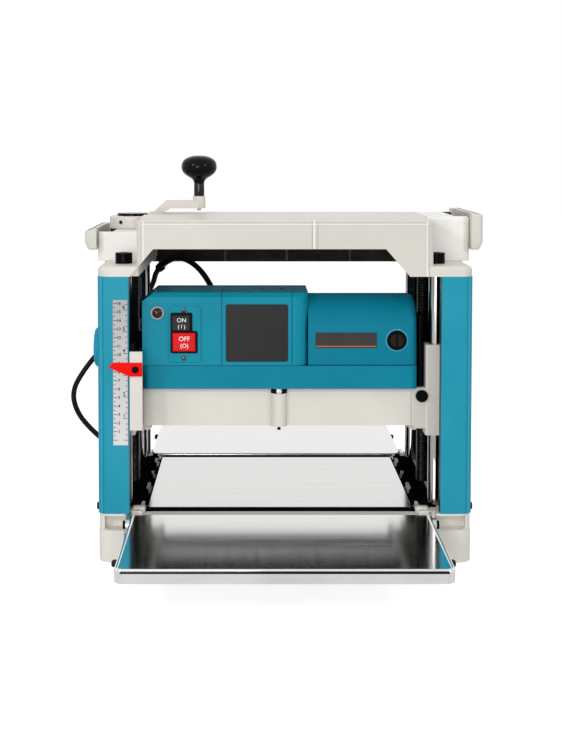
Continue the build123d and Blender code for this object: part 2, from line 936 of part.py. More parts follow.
# Head casting: beams, cheeks and decks between four post sleeves
def make_head_frame():
    beam_low = cut_z + beam_bottom
    beam_back = beam_front + beam_thick
    frame = box(beam_left, beam_right, beam_front, beam_back, beam_low, head_deck)
    frame = fillet(upright_edges(frame, -half_width, half_width, beam_front, beam_front), 5)
    frame -= box(
        beam_groove_x, beam_groove_x + beam_groove,
        beam_front, beam_front + beam_groove, beam_low, head_deck,
    )
    frame += box(head_left, head_right, beam_back, deck_step_y, head_deck - deck_thick, head_deck)
    step_back = deck_step_y - step_wall
    frame += box(head_left, head_right, step_back, deck_step_y, head_deck - deck_thick, rear_deck)
    under = rear_deck - deck_thick
    frame += box(head_left, head_right, step_back, rear_beam_y, under, rear_deck)
    frame += box(head_left, head_right, rear_beam_y, cheek_half, cut_z + rear_beam_low, rear_deck)
    frame -= box(
        work_x - chip_slot_half, work_x + chip_slot_half,
        chip_slot_front, chip_slot_rear, under, rear_deck,
    )
    for side in (-1, 1):
        frame += cheek(side)
    frame += rod_z(gauge_x, beam_front, beam_low, head_deck, gauge_boss_r)
    frame += box(
        stop_block_left, stop_block_right, beam_front, stop_block_rear,
        cut_z + stop_block_bottom, head_deck,
    )
    frame += box(
        pointer_arm_left, pointer_arm_right, pointer_back, -post_y + web_thick,
        cut_z + pointer_bottom, cut_z + pointer_bottom + pointer_height - 2,
    )
    frame += box(
        pointer_arm_left, pointer_right, pointer_back, pointer_back + bracket_plate,
        cut_z + bracket_plate_low, cut_z + bracket_plate_top,
    )
    for x, y in post_places():
        frame += post_sleeve(x, y)
    for cut in head_bores():
        frame -= cut
    return frame


def cheek(side):
    """One side of the head, with an ear and the arm that carries a lead nut."""
    inner = work_x + side * cheek_inner
    outer = work_x + side * cheek_outer
    low = cut_z + cheek_bottom
    outline = [
        (-cheek_half, low), (-cheek_half, head_deck), (deck_step_y, head_deck),
        (deck_step_y, rear_deck + cheek_rise), (cheek_half, rear_deck + cheek_rise),
        (cheek_half, low),
    ]
    arm_low = cut_z + nut_arm_z
    arm_top = arm_low + nut_arm_thick
    screw_x = work_x + side * post_x
    plate = side_profile(outline, min(inner, outer), max(inner, outer))
    plate += box(inner, outer, -ear_half, ear_half, rear_deck, arm_top)
    plate += box(inner, screw_x, -nut_arm_half, nut_arm_half, arm_low, arm_top)
    return plate + rod_z(screw_x, 0, arm_low, arm_top, nut_arm_half)


def post_sleeve(x, y):
    """A square sleeve round a guide post, with a web to the cheek."""
    outline = RectangleRounded(2 * sleeve_half, 2 * sleeve_half, sleeve_corner)
    sleeve = slab(Pos(x, y) * outline, cut_z, cut_z + sleeve_length)
    inner = work_x + math.copysign(cheek_inner, x - work_x)
    web_top = cut_z + rear_web_top if y > 0 else head_deck
    half = web_thick / 2
    return sleeve + box(x, inner, y - half, y + half, cut_z + web_bottom, web_top)


def head_bores():
    """Holes of the head casting: posts, nuts, bearings, the stop rod and its button."""
    cuts = []
    for x, y in post_places():
        cuts.append(rod_z(x, y, cut_z, frame_top, post_r + slide_gap))
    for x in (left_x, right_x):
        cuts.append(rod_z(x, 0, cut_z, frame_top, nut_r))
    cuts.append(rod_x(0, drum_z, head_left, head_right, bearing_r))
    for y in (-roller_y, roller_y):
        cuts.append(rod_x(y, roller_z, head_left, head_right, roller_bush_r))
    cuts.append(rod_z(stop_x, stop_rod_y, cut_z, frame_top, stop_rod_r + running_gap))
    seat = beam_front + stop_button_sink + stop_button_travel + free_gap
    cuts.append(rod_y(
        stop_button_x, cut_z + stop_button_rise, -half_depth, seat, stop_button_r + running_gap
    ))
    return cuts


def make_lead_nuts():
    low = cut_z + nut_bottom
    top = low + nut_height
    return group(
        rod_z(x, 0, low, top, nut_r) - rod_z(x, 0, low, top, screw_r + nut_gap)
        for x in (left_x, right_x)
    )


# Bearings in the cheeks
def bearing_pair(y, z, outer, bore):
    """A ring in each cheek on one axis."""
    spans = [(head_left, work_x - cheek_inner), (work_x + cheek_inner, head_right)]
    return [rod_x(y, z, x0, x1, outer) - rod_x(y, z, x0, x1, bore) for x0, x1 in spans]


def make_cutter_bearings():
    return group(bearing_pair(0, drum_z, bearing_r, drum_shaft_r + running_gap))


def make_roller_bushes():
    bore = roller_shaft_r + running_gap
    rings = []
    for y in (-roller_y, roller_y):
        rings += bearing_pair(y, roller_z, roller_bush_r, bore)
    return group(rings)


# Cutter: drum with two flats, a knife and a clamp bar on each, shaft and pulley
def drum_bar(y0, y1, height, thick):
    """A full-width bar laid on the drum's upper flat and its copy half a turn round."""
    low = drum_z + height
    bar = box(work_x - drum_half, work_x + drum_half, y0, y1, low, low + thick)
    return [bar, Pos(0, 0, 2 * drum_z) * Rot(180, 0, 0) * bar]


def make_cutter_drum():
    drum = rod_x(0, drum_z, work_x - drum_half, work_x + drum_half, drum_r)
    for flat in drum_bar(-drum_r, drum_r, knife_flat, drum_r):
        drum -= flat
    left = head_left - drum_shaft_left
    return drum + rod_x(0, drum_z, left, pulley_right, drum_shaft_r)


def make_knives():
    return group(drum_bar(-knife_back, knife_edge, knife_flat, knife_thick))


def make_knife_clamps():
    return group(drum_bar(-knife_back, clamp_edge, knife_flat + knife_thick, clamp_thick))


def make_cutter_pulley():
    pulley = rod_x(0, drum_z, pulley_left, pulley_right, cutter_pulley_r)
    return pulley - rod_x(0, drum_z, pulley_left, pulley_right, drum_shaft_r)


# Feed rollers: a rubber sleeve on a steel shaft with its sprocket
def make_feed_roller(y):
    half = drum_half - roller_side_gap
    sleeve = rod_x(y, roller_z, work_x - half, work_x + half, roller_r)
    return sleeve - rod_x(y, roller_z, work_x - half, work_x + half, roller_shaft_r)


def make_feed_shaft(y):
    shaft = rod_x(y, roller_z, chain_left, head_right, roller_shaft_r)
    return shaft + rod_x(y, roller_z, chain_left, chain_right, feed_sprocket_r)


def make_feed_chain():
    circles = [
        (-roller_y, roller_z, feed_sprocket_r + belt_gap),
        (roller_y, roller_z, feed_sprocket_r + belt_gap),
        (0, cut_z + drive_sprocket_rise, drive_sprocket_r + belt_gap),
    ]
    x0 = chain_left + chain_inset
    x1 = chain_right - chain_inset
    return belt_shape(grown(circles, chain_thick), x0, x1) - belt_shape(circles, x0, x1)


def make_gear_case():
    case = box(
        gear_case_left, head_left, -gear_case_half, gear_case_half,
        cut_z + gear_case_bottom, cut_z + gear_case_top,
    )
    case = fillet(case.edges().filter_by(Axis.X), gear_case_round)
    shaft_end = head_left - drum_shaft_left - free_gap
    case -= rod_x(0, drum_z, shaft_end, head_left, drum_shaft_r + free_gap)
    z = cut_z + drive_sprocket_rise
    return case + rod_x(0, z, chain_left, gear_case_left, drive_sprocket_r)


# Motor: housing barrel, stator, armature, fan and brush caps
def motor_rod(x0, x1, r):
    """A round bar on the motor's axis."""
    return rod_x(motor_y, motor_z, x0, x1, r)


def make_motor_housing():
    low = cut_z + housing_bottom
    barrel = motor_rod(barrel_left, head_right, barrel_r)
    barrel += box(barrel_left, head_right, motor_y - barrel_r, motor_y + barrel_r, low, motor_z)
    end = barrel.faces().sort_by(Axis.X)[-1]
    rim = [edge for edge in end.edges() if edge.center().Z > low + 1]
    barrel = fillet(rim, barrel_round)
    straight = head_right - barrel_round
    barrel -= motor_rod(barrel_left, straight, barrel_r - barrel_wall)
    barrel -= motor_rod(straight, head_right - barrel_end_wall, barrel_end_r)
    barrel -= motor_rod(straight, head_right, motor_shaft_r + running_gap)
    for seat in brush_seats():
        barrel -= seat
    return barrel


def brush_seats():
    """Round seats of the brush caps, low at the front and high at the rear."""
    length = 2 * barrel_wall + brush_proud
    front = motor_y - barrel_r - brush_proud
    rear = motor_y + math.sqrt(barrel_r**2 - brush_offset**2) + brush_proud
    return [
        rod_y(brush_x, motor_z - brush_offset, front, front + length, brush_cap_r),
        rod_y(brush_x, motor_z + brush_offset, rear - length, rear, brush_cap_r),
    ]


def make_brush_caps():
    caps = []
    for seat, rear in zip(brush_seats(), (False, True)):
        cap = fillet(end_rim(seat, Axis.Y, rear), brush_proud / 2)
        extent = cap.bounding_box()
        y = extent.max.Y if rear else extent.min.Y
        z = cap.center().Z
        caps.append(cap - box(
            brush_x - brush_cap_r / 2, brush_x + brush_cap_r / 2,
            y - brush_proud / 2, y + brush_proud / 2, z - brush_slot / 2, z + brush_slot / 2,
        ))
    return group(caps)


def make_stator():
    core = motor_rod(stator_left, stator_right, barrel_r - barrel_wall)
    return core - motor_rod(stator_left, stator_right, stator_bore_r)


def make_armature():
    armature = motor_rod(motor_shaft_left, pulley_right, motor_shaft_r)
    armature += motor_rod(rotor_left, rotor_right, rotor_r)
    armature += motor_rod(commutator_left, commutator_right, commutator_r)
    return armature + motor_rod(pulley_left, pulley_right, motor_pulley_r)


def make_motor_fan():
    hub_radius = 2 * motor_shaft_r
    fan = motor_rod(fan_left, fan_left + fan_disc, fan_r)
    fan += motor_rod(fan_left, fan_right, hub_radius)
    blade = box(fan_left, fan_right, -fan_disc / 2, fan_disc / 2, hub_radius - 1, fan_r - 1)
    for n in range(fan_blades):
        fan += Pos(0, motor_y, motor_z) * Rot(360 * n / fan_blades, 0, 0) * blade
    return fan - motor_rod(fan_left, fan_right, motor_shaft_r)


# Belt drive
def belt_circles(amount):
    """The pulleys' circles, grown by an amount."""
    pulleys = [(0, drum_z, cutter_pulley_r), (motor_y, motor_z, motor_pulley_r)]
    return grown(pulleys, amount)


def make_drive_belt():
    x0 = pulley_left + belt_inset
    x1 = pulley_right - belt_inset
    outer = belt_shape(belt_circles(belt_gap + belt_thick), x0, x1)
    return outer - belt_shape(belt_circles(belt_gap), x0, x1)


def make_belt_cover():
    room = belt_gap + belt_thick + belt_cover_room
    outer = belt_shape(belt_circles(room + belt_cover_wall), head_right, belt_cover_end)
    inside = belt_shape(belt_circles(room), head_right, belt_cover_end - belt_cover_wall)
    return outer - inside


# Switch housing, lower cowl and what they carry
def make_switch_housing():
    low = cut_z + housing_bottom
    top = cut_z + housing_top
    shell = housing_block(0, low, top)
    shell -= housing_block(housing_wall, low, top)
    front = housing_front + housing_wall
    for key in (on_key(button_gap), off_key(button_gap)):
        shell -= box(key[0], key[1], housing_front, front, key[2], key[3])
    shell -= rod_y(lamp_x, cut_z + lamp_rise, housing_front, front, lamp_lens_r)
    return shell - motor_rod(barrel_left - housing_wall, barrel_left, motor_shaft_r + running_gap)


def housing_block(inset, low, top):
    """The housing's shape, drawn in by an inset on all sides but the bottom."""
    left = housing_left + inset
    right = barrel_left - inset
    ceiling = top - inset
    front = housing_front + inset
    outline = [
        (left, low), (left, ceiling - housing_slope_z), (left + housing_slope_x, ceiling),
        (right, ceiling), (right, low),
    ]
    block = front_profile(outline, front, housing_rear - inset)
    corner = upright_edges(block, right - 0.1, right + 0.1, front - 0.1, front + 0.1)
    block = fillet(corner, housing_side_round - inset)
    bevel = housing_bevel - 0.6 * inset
    slope = [
        (front - bevel, ceiling - 2 * bevel), (front + 2 * bevel, ceiling + bevel),
        (front - bevel, ceiling + bevel),
    ]
    return block - side_profile(slope, housing_left, barrel_left)


def on_key(margin):
    """The ON button's X and Z limits, grown by a margin."""
    return (
        on_left - margin, on_right + margin, cut_z + on_bottom - margin, cut_z + on_top + margin
    )


def off_key(margin):
    """The OFF button's X and Z limits, grown by a margin."""
    return (
        off_left - margin, off_right + margin,
        cut_z + off_bottom - margin, cut_z + off_top + margin,
    )


def make_switch_plate():
    face = housing_front - plate_thick
    plate = box(
        plate_left, plate_right, face, housing_front, cut_z + plate_bottom, cut_z + plate_top
    )
    plate = fillet(plate.edges().filter_by(Axis.Y), plate_corner)
    for key in (on_key(button_gap), off_key(button_gap)):
        plate -= box(key[0], key[1], face, housing_front, key[2], key[3])
    return plate


def make_button(key):
    """A push button with rounded front edges, from its X and Z limits."""
    face = housing_front - plate_thick - button_proud
    button = box(key[0], key[1], face, face + button_length, key[2], key[3])
    return fillet([e for e in button.edges() if e.center().Y < face + 0.1], button_round)


def make_pilot_lamp():
    z = cut_z + lamp_rise
    lens = rod_y(
        lamp_x, z, housing_front - lamp_proud, housing_front + housing_wall, lamp_lens_r
    )
    lens = fillet(end_rim(lens, Axis.Y, False), 2)
    return lens + rod_y(lamp_x, z, housing_front - lamp_ring, housing_front, lamp_r)


def make_lower_cowl():
    top = cut_z + housing_bottom
    cowl = box(housing_left, head_right, housing_front, cowl_rear, head_deck, top)
    fronts = upright_edges(cowl, -half_width, half_width, housing_front, housing_front)
    cowl = fillet(fronts, cowl_round)
    wall = housing_wall
    room = box(
        housing_left + wall, head_right - wall, housing_front + wall, cowl_rear - wall,
        head_deck, top,
    )
    inner_fronts = upright_edges(
        room, -half_width, half_width, housing_front + wall - 0.1, housing_front + wall + 0.1
    )
    room = fillet(inner_fronts, cowl_round - wall)
    shelf = box(
        barrel_left, head_right - wall, motor_y - saddle_half, cowl_rear - wall, top - wall, top
    )
    return cowl - room + shelf


# Chip hood: a sheet hood over the cutter's outlet, open to the rear
def make_chip_hood():
    high = rear_deck + hood_high
    low = rear_deck + hood_low
    wall = hood_wall
    outer = [
        (hood_front, rear_deck), (hood_front, low), (hood_brow, high),
        (hood_rear, high), (hood_rear, rear_deck),
    ]
    inner = [
        (hood_front + wall, rear_deck), (hood_front + wall, low - wall),
        (hood_brow, high - wall), (hood_rear, high - wall), (hood_rear, rear_deck),
    ]
    hood = side_profile(outer, work_x - hood_half, work_x + hood_half)
    return hood - side_profile(inner, work_x - hood_half + wall, work_x + hood_half - wall)


# Depth pointer with its screw, the scale, and the gauge's screws on the front beam
def make_depth_pointer():
    low = cut_z + pointer_bottom
    top = low + pointer_height
    outline = [
        (pointer_left, top - pointer_nose), (pointer_left + pointer_nose, top),
        (pointer_right, top), (pointer_right, low), (pointer_slope_end, low),
        (pointer_left, top - 1.5 * pointer_nose),
    ]
    return front_profile(outline, pointer_back - pointer_thick, pointer_back)


def make_head_screws():
    z = cut_z + pointer_bottom + pointer_height / 2
    face = pointer_back - pointer_thick
    screw = rod_y(pointer_screw_x, z, face - pointer_screw_head, face, pointer_screw_r)
    screw = fillet(end_rim(screw, Axis.Y, False), pointer_screw_head / 2)
    beam_low = cut_z + beam_bottom
    y = beam_front - gauge_boss_r / 2
    pin = rod_z(gauge_x, y, beam_low - 2 * gauge_pin_r, beam_low, gauge_pin_r)
    return group([screw, pin])


def make_depth_scale():
    return box(
        scale_left, scale_left + scale_width, -half_depth - scale_thick, -half_depth,
        scale_bottom, scale_bottom + scale_height,
    )


# Depth stop: rod and its release button
def make_stop_rod():
    low = cut_z + stop_block_bottom
    rod = rod_z(stop_x, stop_rod_y, low, low + stop_rod_length, stop_rod_r)
    return chamfer(rod.edges().filter_by(GeomType.CIRCLE), 1)


def make_stop_button():
    face = beam_front - stop_button_proud
    seat = beam_front + stop_button_sink
    button = rod_y(stop_button_x, cut_z + stop_button_rise, face, seat, stop_button_r)
    return fillet(end_rim(button, Axis.Y, False), button_round)


# Mains cord: relief on the housing, loop to a hook, tail to the floor, coil and plug
def make_strain_relief():
    middle = Pos(relief_x, housing_rear + relief_length / 2, cut_z + relief_rise)
    return middle * Rot(-90, 0, 0) * Cone(relief_root_r, relief_tip_r, relief_length)


def loop_points():
    """From the strain relief over the chip hood to the hook."""
    x = relief_x
    y = housing_rear + relief_length
    z = cut_z + relief_rise
    across = hook_point[0] - x
    back = hook_point[1] - y
    return [
        (x, y, z), (x, y + 0.18 * back, z),
        (x + 0.09 * across, y + 0.375 * back, z + 0.37 * loop_rise),
        (x + 0.32 * across, y + 0.55 * back, z + 0.8 * loop_rise),
        (x + 0.6 * across, y + 0.72 * back, z + loop_rise),
        (x + 0.85 * across, y + 0.885 * back, z + 0.9 * loop_rise), hook_point,
    ]


def tail_point(out, back, height):
    """A point of the tail, in shares of its swing out, its way back and the hook's height."""
    x, y, z = hook_point
    return (x - out * tail_swing, y + back * (coil_start()[1] - y), height * z)


def tail_points():
    """From the hook under the rear beam, down behind the left cover and in to the coil."""
    start = coil_start()
    ahead = (Vector(hook_point) - Vector(loop_points()[-2])).normalized()
    return [
        hook_point, tuple(Vector(hook_point) + hook_run * ahead),
        tail_point(0.1, 0.333, 0.916), tail_point(0.21, 0.46, 0.84),
        tail_point(0.42, 0.53, 0.734), tail_point(0.67, 0.563, 0.619),
        tail_point(0.88, 0.588, 0.512), tail_point(1, 0.627, 0.419),
        tail_point(0.955, 0.686, 0.322), tail_point(0.805, 0.764, 0.238),
        tail_point(0.595, 0.842, 0.156), tail_point(0.355, 0.911, 0.084),
        tail_point(0.1, 0.96, 0.031), (start[0] - 2.3 * tail_lead, start[1] - 1.5, cord_r),
        (start[0] - tail_lead, start[1], cord_r), start,
    ]


def cord_radii(points):
    """The largest arc at each corner that its two runs allow."""
    radii = []
    for before, here, after in zip(points, points[1:], points[2:]):
        run_in = Vector(here) - Vector(before)
        run_out = Vector(after) - Vector(here)
        turn = math.radians(run_in.get_angle(run_out))
        shorter = min(run_in.length, run_out.length)
        radii.append(0.45 * shorter / math.tan(turn / 2))
    return radii


def cord_tube(name, points):
    """A tube along straight runs joined by tangent arcs."""
    radii = cord_radii(points)
    path = FilletPolyline(*points, radius=radii)
    return swept_cord(name, path, [round(r) for r in radii])


def swept_cord(name, path, note):
    """The cord's round section carried along a path, with its length and volume printed."""
    section = Plane(origin=path @ 0, z_dir=path % 0) * Circle(cord_r)
    tube = sweep(section, path=path)
    share = tube.volume / (math.pi * cord_r**2 * path.length)
    print(name, "length", round(path.length, 1), "volume share", round(share, 4), note)
    return tube


def coil_outer_r():
    """The radius at which the coil starts and ends."""
    return coil_inner_r + coil_turns * coil_pitch


def coil_start():
    """The first point of the coil's lead, at its front."""
    return (coil_x - 2 * cord_r, coil_y - coil_outer_r(), cord_r)


def half_turns(y, z, way, radii):
    """Half-circle arcs joined end to end, from (coil_x, y), with the side they bulge to."""
    arcs = []
    for r in radii:
        end = y + 2 * way * r
        middle = (coil_x + way * r, y + way * r, z)
        arcs.append(ThreePointArc((coil_x, y, z), middle, (coil_x, end, z)))
        y = end
        way = -way
    return arcs, y, way


def coil_path():
    """A spiral in on the floor, half a turn that climbs one layer, and a spiral out."""
    steps = [coil_inner_r + coil_pitch / 2 * (n + 0.5) for n in range(2 * coil_turns)]
    low = cord_r
    high = low + coil_layer
    y = coil_y - coil_outer_r()
    edges = [Line(coil_start(), (coil_x, y, low))]
    arcs, y, way = half_turns(y, low, 1, reversed(steps))
    edges += arcs
    climb_r = coil_inner_r - coil_pitch / 4
    reach = math.sqrt(climb_r**2 + coil_layer**2 / 4)
    knee = (coil_x + way * reach, y + way * climb_r, (low + high) / 2)
    edges.append(TangentArc((coil_x, y, low), knee, tangent=(way, 0, 0)))
    far = y + 2 * way * climb_r
    edges.append(TangentArc(knee, (coil_x, far, high), tangent=edges[-1] % 1))
    arcs, y, way = half_turns(far, high, -way, steps)
    edges += arcs
    edges.append(Line((coil_x, y, high), (coil_x + way * coil_lead, y, high)))
    return Wire(edges)


def least_self_gap(path):
    """The least gap between turns of the cord along a path, measured on points."""
    count = 500
    points = [path @ (n / count) for n in range(count + 1)]
    skip = math.ceil(2 * coil_pitch * count / path.length)
    pairs = ((a - b).length for n, a in enumerate(points) for b in points[n + skip:])
    return min(pairs) - 2 * cord_r


def make_cord_plug(path):
    lead = Plane(origin=path @ 1, x_dir=(0, 1, 0), z_dir=path % 1)
    face = lead.offset(plug_length)
    body = loft([
        lead * Circle(1.5 * cord_r),
        lead.offset(plug_length / 2) * RectangleRounded(plug_width * 0.7, plug_height * 0.8, 8),
        face * RectangleRounded(plug_width, plug_height, plug_corner),
    ])
    for side in (-1, 1):
        pin = face * Pos(side * plug_pins_apart / 2, 0) * Circle(plug_pin_r)
        body += extrude(pin, plug_pin)
    return body


def make_cord_hook():
    x, y, z = hook_point
    ahead = Vector(tail_points()[1]) - Vector(hook_point)
    across = Plane(origin=hook_point, z_dir=ahead)
    ring = extrude(across * (Circle(cord_r + hook_wall) - Circle(cord_r)), hook_length)
    arm = box(
        x - hook_arm_half - 1, x + hook_arm_half - 1, y + hook_arm_low,
        half_depth - rear_beam_thick,
        z + hook_arm_low, z + hook_arm_high,
    )
    bore = extrude(across * Circle(cord_r), 2 * hook_length)
    return ring + arm - bore


front_table = make_fold_table()
coil = coil_path()

pieces = {
    "base": make_base(),
    "main_table": make_main_table(),
    "left_cover": make_left_cover(),
    "right_cover": make_cover(1),
    "cover_screws": make_cover_screws(),
    "guide_posts": make_posts(),
    "post_bolts": make_post_bolts(),
    "top_frame": make_top_frame(),
    "left_grip": make_grip(-1, left_grip_bottom, left_grip_top),
    "right_grip": make_grip(1, right_grip_bottom, right_grip_top),
    "depth_scale": make_depth_scale(),
    "hinge_brackets": four_corners(make_hinge_bracket),
    "hinge_pins": four_corners(make_hinge_pin),
    "front_table": front_table,
    "rear_table": mirror(front_table, Plane.XZ),
    "lift_chain": make_lift_chain(),
    "screw_bushes": make_screw_bushes(),
    "crank_arm": make_crank_arm(),
    "crank_cap": make_crank_cap(),
    "crank_knob": make_crank_knob(),
    "left_screw": make_screw(left_x, hub_top),
    "right_screw": make_screw(right_x, cover_top + wing_foot),
    "head_frame": make_head_frame(),
    "lead_nuts": make_lead_nuts(),
    "cutter_bearings": make_cutter_bearings(),
    "roller_bushes": make_roller_bushes(),
    "cutter_drum": make_cutter_drum(),
    "knives": make_knives(),
    "knife_clamps": make_knife_clamps(),
    "cutter_pulley": make_cutter_pulley(),
    "infeed_roller": make_feed_roller(-roller_y),
    "infeed_shaft": make_feed_shaft(-roller_y),
    "outfeed_roller": make_feed_roller(roller_y),
    "outfeed_shaft": make_feed_shaft(roller_y),
    "feed_chain": make_feed_chain(),
    "gear_case": make_gear_case(),
    "motor_housing": make_motor_housing(),
    "brush_caps": make_brush_caps(),
    "stator": make_stator(),
    "armature": make_armature(),
    "motor_fan": make_motor_fan(),
    "drive_belt": make_drive_belt(),
    "belt_cover": make_belt_cover(),
    "switch_housing": make_switch_housing(),
    "switch_plate": make_switch_plate(),
    "on_button": make_button(on_key(0)),
    "off_button": make_button(off_key(0)),
    "pilot_lamp": make_pilot_lamp(),
    "lower_cowl": make_lower_cowl(),
    "chip_hood": make_chip_hood(),
    "depth_pointer": make_depth_pointer(),
    "head_screws": make_head_screws(),
    "stop_rod": make_stop_rod(),
    "stop_button": make_stop_button(),
    "strain_relief": make_strain_relief(),
    "cord_hook": make_cord_hook(),
    "cord_loop": cord_tube("cord_loop", loop_points()),
    "cord_tail": cord_tube("cord_tail", tail_points()),
    "cord_coil": swept_cord("cord_coil", coil, f"self gap {least_self_gap(coil):.2f}"),
    "cord_plug": make_cord_plug(coil),
}

os.makedirs("parts", exist_ok=True)
for name, shape in pieces.items():
    export_step(shape, f"parts/{name}.step")
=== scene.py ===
import json
import math

import bmesh
import bpy
from mathutils import Matrix, Vector


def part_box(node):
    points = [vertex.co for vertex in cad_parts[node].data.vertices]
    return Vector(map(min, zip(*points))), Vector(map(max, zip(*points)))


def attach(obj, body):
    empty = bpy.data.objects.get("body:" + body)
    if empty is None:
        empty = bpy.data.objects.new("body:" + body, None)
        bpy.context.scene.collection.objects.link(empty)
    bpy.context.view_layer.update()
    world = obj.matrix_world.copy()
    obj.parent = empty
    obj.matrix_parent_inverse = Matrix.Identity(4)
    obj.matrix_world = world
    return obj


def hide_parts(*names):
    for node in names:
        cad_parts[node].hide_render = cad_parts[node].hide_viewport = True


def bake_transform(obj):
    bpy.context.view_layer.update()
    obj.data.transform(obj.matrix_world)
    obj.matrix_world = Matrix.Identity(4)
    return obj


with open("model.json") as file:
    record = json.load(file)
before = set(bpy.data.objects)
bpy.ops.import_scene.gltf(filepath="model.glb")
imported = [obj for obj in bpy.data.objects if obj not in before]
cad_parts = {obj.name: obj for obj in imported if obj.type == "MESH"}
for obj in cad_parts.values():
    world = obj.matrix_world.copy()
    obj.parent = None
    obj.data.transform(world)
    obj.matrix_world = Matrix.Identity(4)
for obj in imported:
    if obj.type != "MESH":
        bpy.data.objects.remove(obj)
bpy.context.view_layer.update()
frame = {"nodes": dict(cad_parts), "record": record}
scene = bpy.context.scene
scene.view_settings.view_transform = "Standard"

# Places are in millimetres of the part's frame, and mm() turns them into metres
to_front = (0, -1, 0)
to_rear = (0, 1, 0)
to_top = (0, 0, 1)
both_sides = (("left", -1), ("right", 1))
both_ends = (("front", -1), ("rear", 1))


def mm(*values):
    """Millimetres as a point in metres."""
    return Vector([v / 1000 for v in values])


class Box:
    """A CAD node's box at rest, in millimetres."""

    def __init__(self, node):
        self.node = node
        low, high = [[v * 1000 for v in corner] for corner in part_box(node)]
        self.left, self.front, self.foot = [round(v, 2) for v in low]
        self.right, self.rear, self.top = [round(v, 2) for v in high]
        middles = [round((a + b) / 2, 2) for a, b in zip(low, high)]
        self.middle_x, self.middle_y, self.middle_z = middles

    def side(self, way):
        """The left face for -1 and the right one for 1."""
        return self.left if way < 0 else self.right

    def end(self, way):
        """The front face for -1 and the rear one for 1."""
        return self.front if way < 0 else self.rear


def new_object(name, data):
    ob = bpy.data.objects.new(name, data)
    scene.collection.objects.link(ob)
    return ob


# Rails beside the bed as (front, rear, height over the bed), and the starts of the gaps before them
bed = Box("main_table")
work_x = bed.middle_x
rails = ((-108, -56, 4.4), (-12, 26, 5.6), (52, 93, 5.0), (129, 139, 5.6))
gap_starts = (-132, *[rear for _, rear, _ in rails[:-1]])

# Camera
camera_data = bpy.data.cameras.new("camera")
camera_data.sensor_width = 36
camera_data.lens = 67.256
camera_data.shift_x = 0.0381
camera_data.shift_y = -0.2022
camera = new_object("camera", camera_data)
camera.location = mm(-37.94, -1786.51, 480.98)
camera.rotation_euler = (math.radians(87), 0, 0)
scene.camera = camera


# Light: white surroundings, four soft lamps and a pale floor
def make_world():
    """Soft light all round, seen as white by the camera and in mirrors and glass."""
    world = bpy.data.worlds.new("studio")
    scene.world = world
    world.use_nodes = True
    nodes = world.node_tree.nodes
    links = world.node_tree.links
    nodes.clear()
    path = nodes.new("ShaderNodeLightPath")
    clear = nodes.new("ShaderNodeMath")
    clear.operation = "MAXIMUM"
    links.new(path.outputs["Is Camera Ray"], clear.inputs[0])
    links.new(path.outputs["Is Transmission Ray"], clear.inputs[1])
    seen = nodes.new("ShaderNodeMath")
    seen.operation = "MAXIMUM"
    links.new(clear.outputs[0], seen.inputs[0])
    links.new(path.outputs["Is Glossy Ray"], seen.inputs[1])
    soft = nodes.new("ShaderNodeBackground")
    soft.inputs["Color"].default_value = (0.97, 0.98, 1.0, 1)
    soft.inputs["Strength"].default_value = 0.6
    white = nodes.new("ShaderNodeBackground")
    white.inputs["Color"].default_value = (1, 1, 1, 1)
    white.inputs["Strength"].default_value = 1.0
    mix = nodes.new("ShaderNodeMixShader")
    out = nodes.new("ShaderNodeOutputWorld")
    links.new(seen.outputs[0], mix.inputs[0])
    links.new(soft.outputs[0], mix.inputs[1])
    links.new(white.outputs[0], mix.inputs[2])
    links.new(mix.outputs[0], out.inputs["Surface"])


def make_lamp(name, place, target, size, power):
    """A square lamp that faces a target. Places and size are in metres."""
    data = bpy.data.lights.new(name, "AREA")
    data.shape = "SQUARE"
    data.size = size
    data.energy = power
    lamp = new_object(name, data)
    lamp.location = place
    aim = Vector(target) - Vector(place)
    lamp.rotation_euler = aim.to_track_quat("-Z", "Y").to_euler()
    return lamp


def make_floor():
    """A matt floor that the camera sees as white, apart from the part's shadow."""
    half = 8.0
    camera_glow, mirror_glow = 0.74, 0.3
    mesh = bpy.data.meshes.new("floor")
    corners = [(-half, -half, 0), (half, -half, 0), (half, half, 0), (-half, half, 0)]
    mesh.from_pydata(corners, [], [(0, 1, 2, 3)])
    floor = new_object("floor", mesh)
    paint = bpy.data.materials.new("floor_paint")
    paint.use_nodes = True
    nodes = paint.node_tree.nodes
    links = paint.node_tree.links
    nodes.clear()
    path = nodes.new("ShaderNodeLightPath")
    dim = nodes.new("ShaderNodeMath")
    dim.operation = "MULTIPLY"
    dim.inputs[1].default_value = mirror_glow
    links.new(path.outputs["Is Glossy Ray"], dim.inputs[0])
    glow = nodes.new("ShaderNodeMath")
    glow.operation = "MULTIPLY_ADD"
    glow.inputs[1].default_value = camera_glow
    links.new(path.outputs["Is Camera Ray"], glow.inputs[0])
    links.new(dim.outputs[0], glow.inputs[2])
    light = nodes.new("ShaderNodeEmission")
    links.new(glow.outputs[0], light.inputs["Strength"])
    matt = nodes.new("ShaderNodeBsdfDiffuse")
    matt.inputs["Color"].default_value = (0.6, 0.6, 0.6, 1)
    both = nodes.new("ShaderNodeAddShader")
    out = nodes.new("ShaderNodeOutputMaterial")
    links.new(matt.outputs[0], both.inputs[0])
    links.new(light.outputs[0], both.inputs[1])
    links.new(both.outputs[0], out.inputs["Surface"])
    mesh.materials.append(paint)


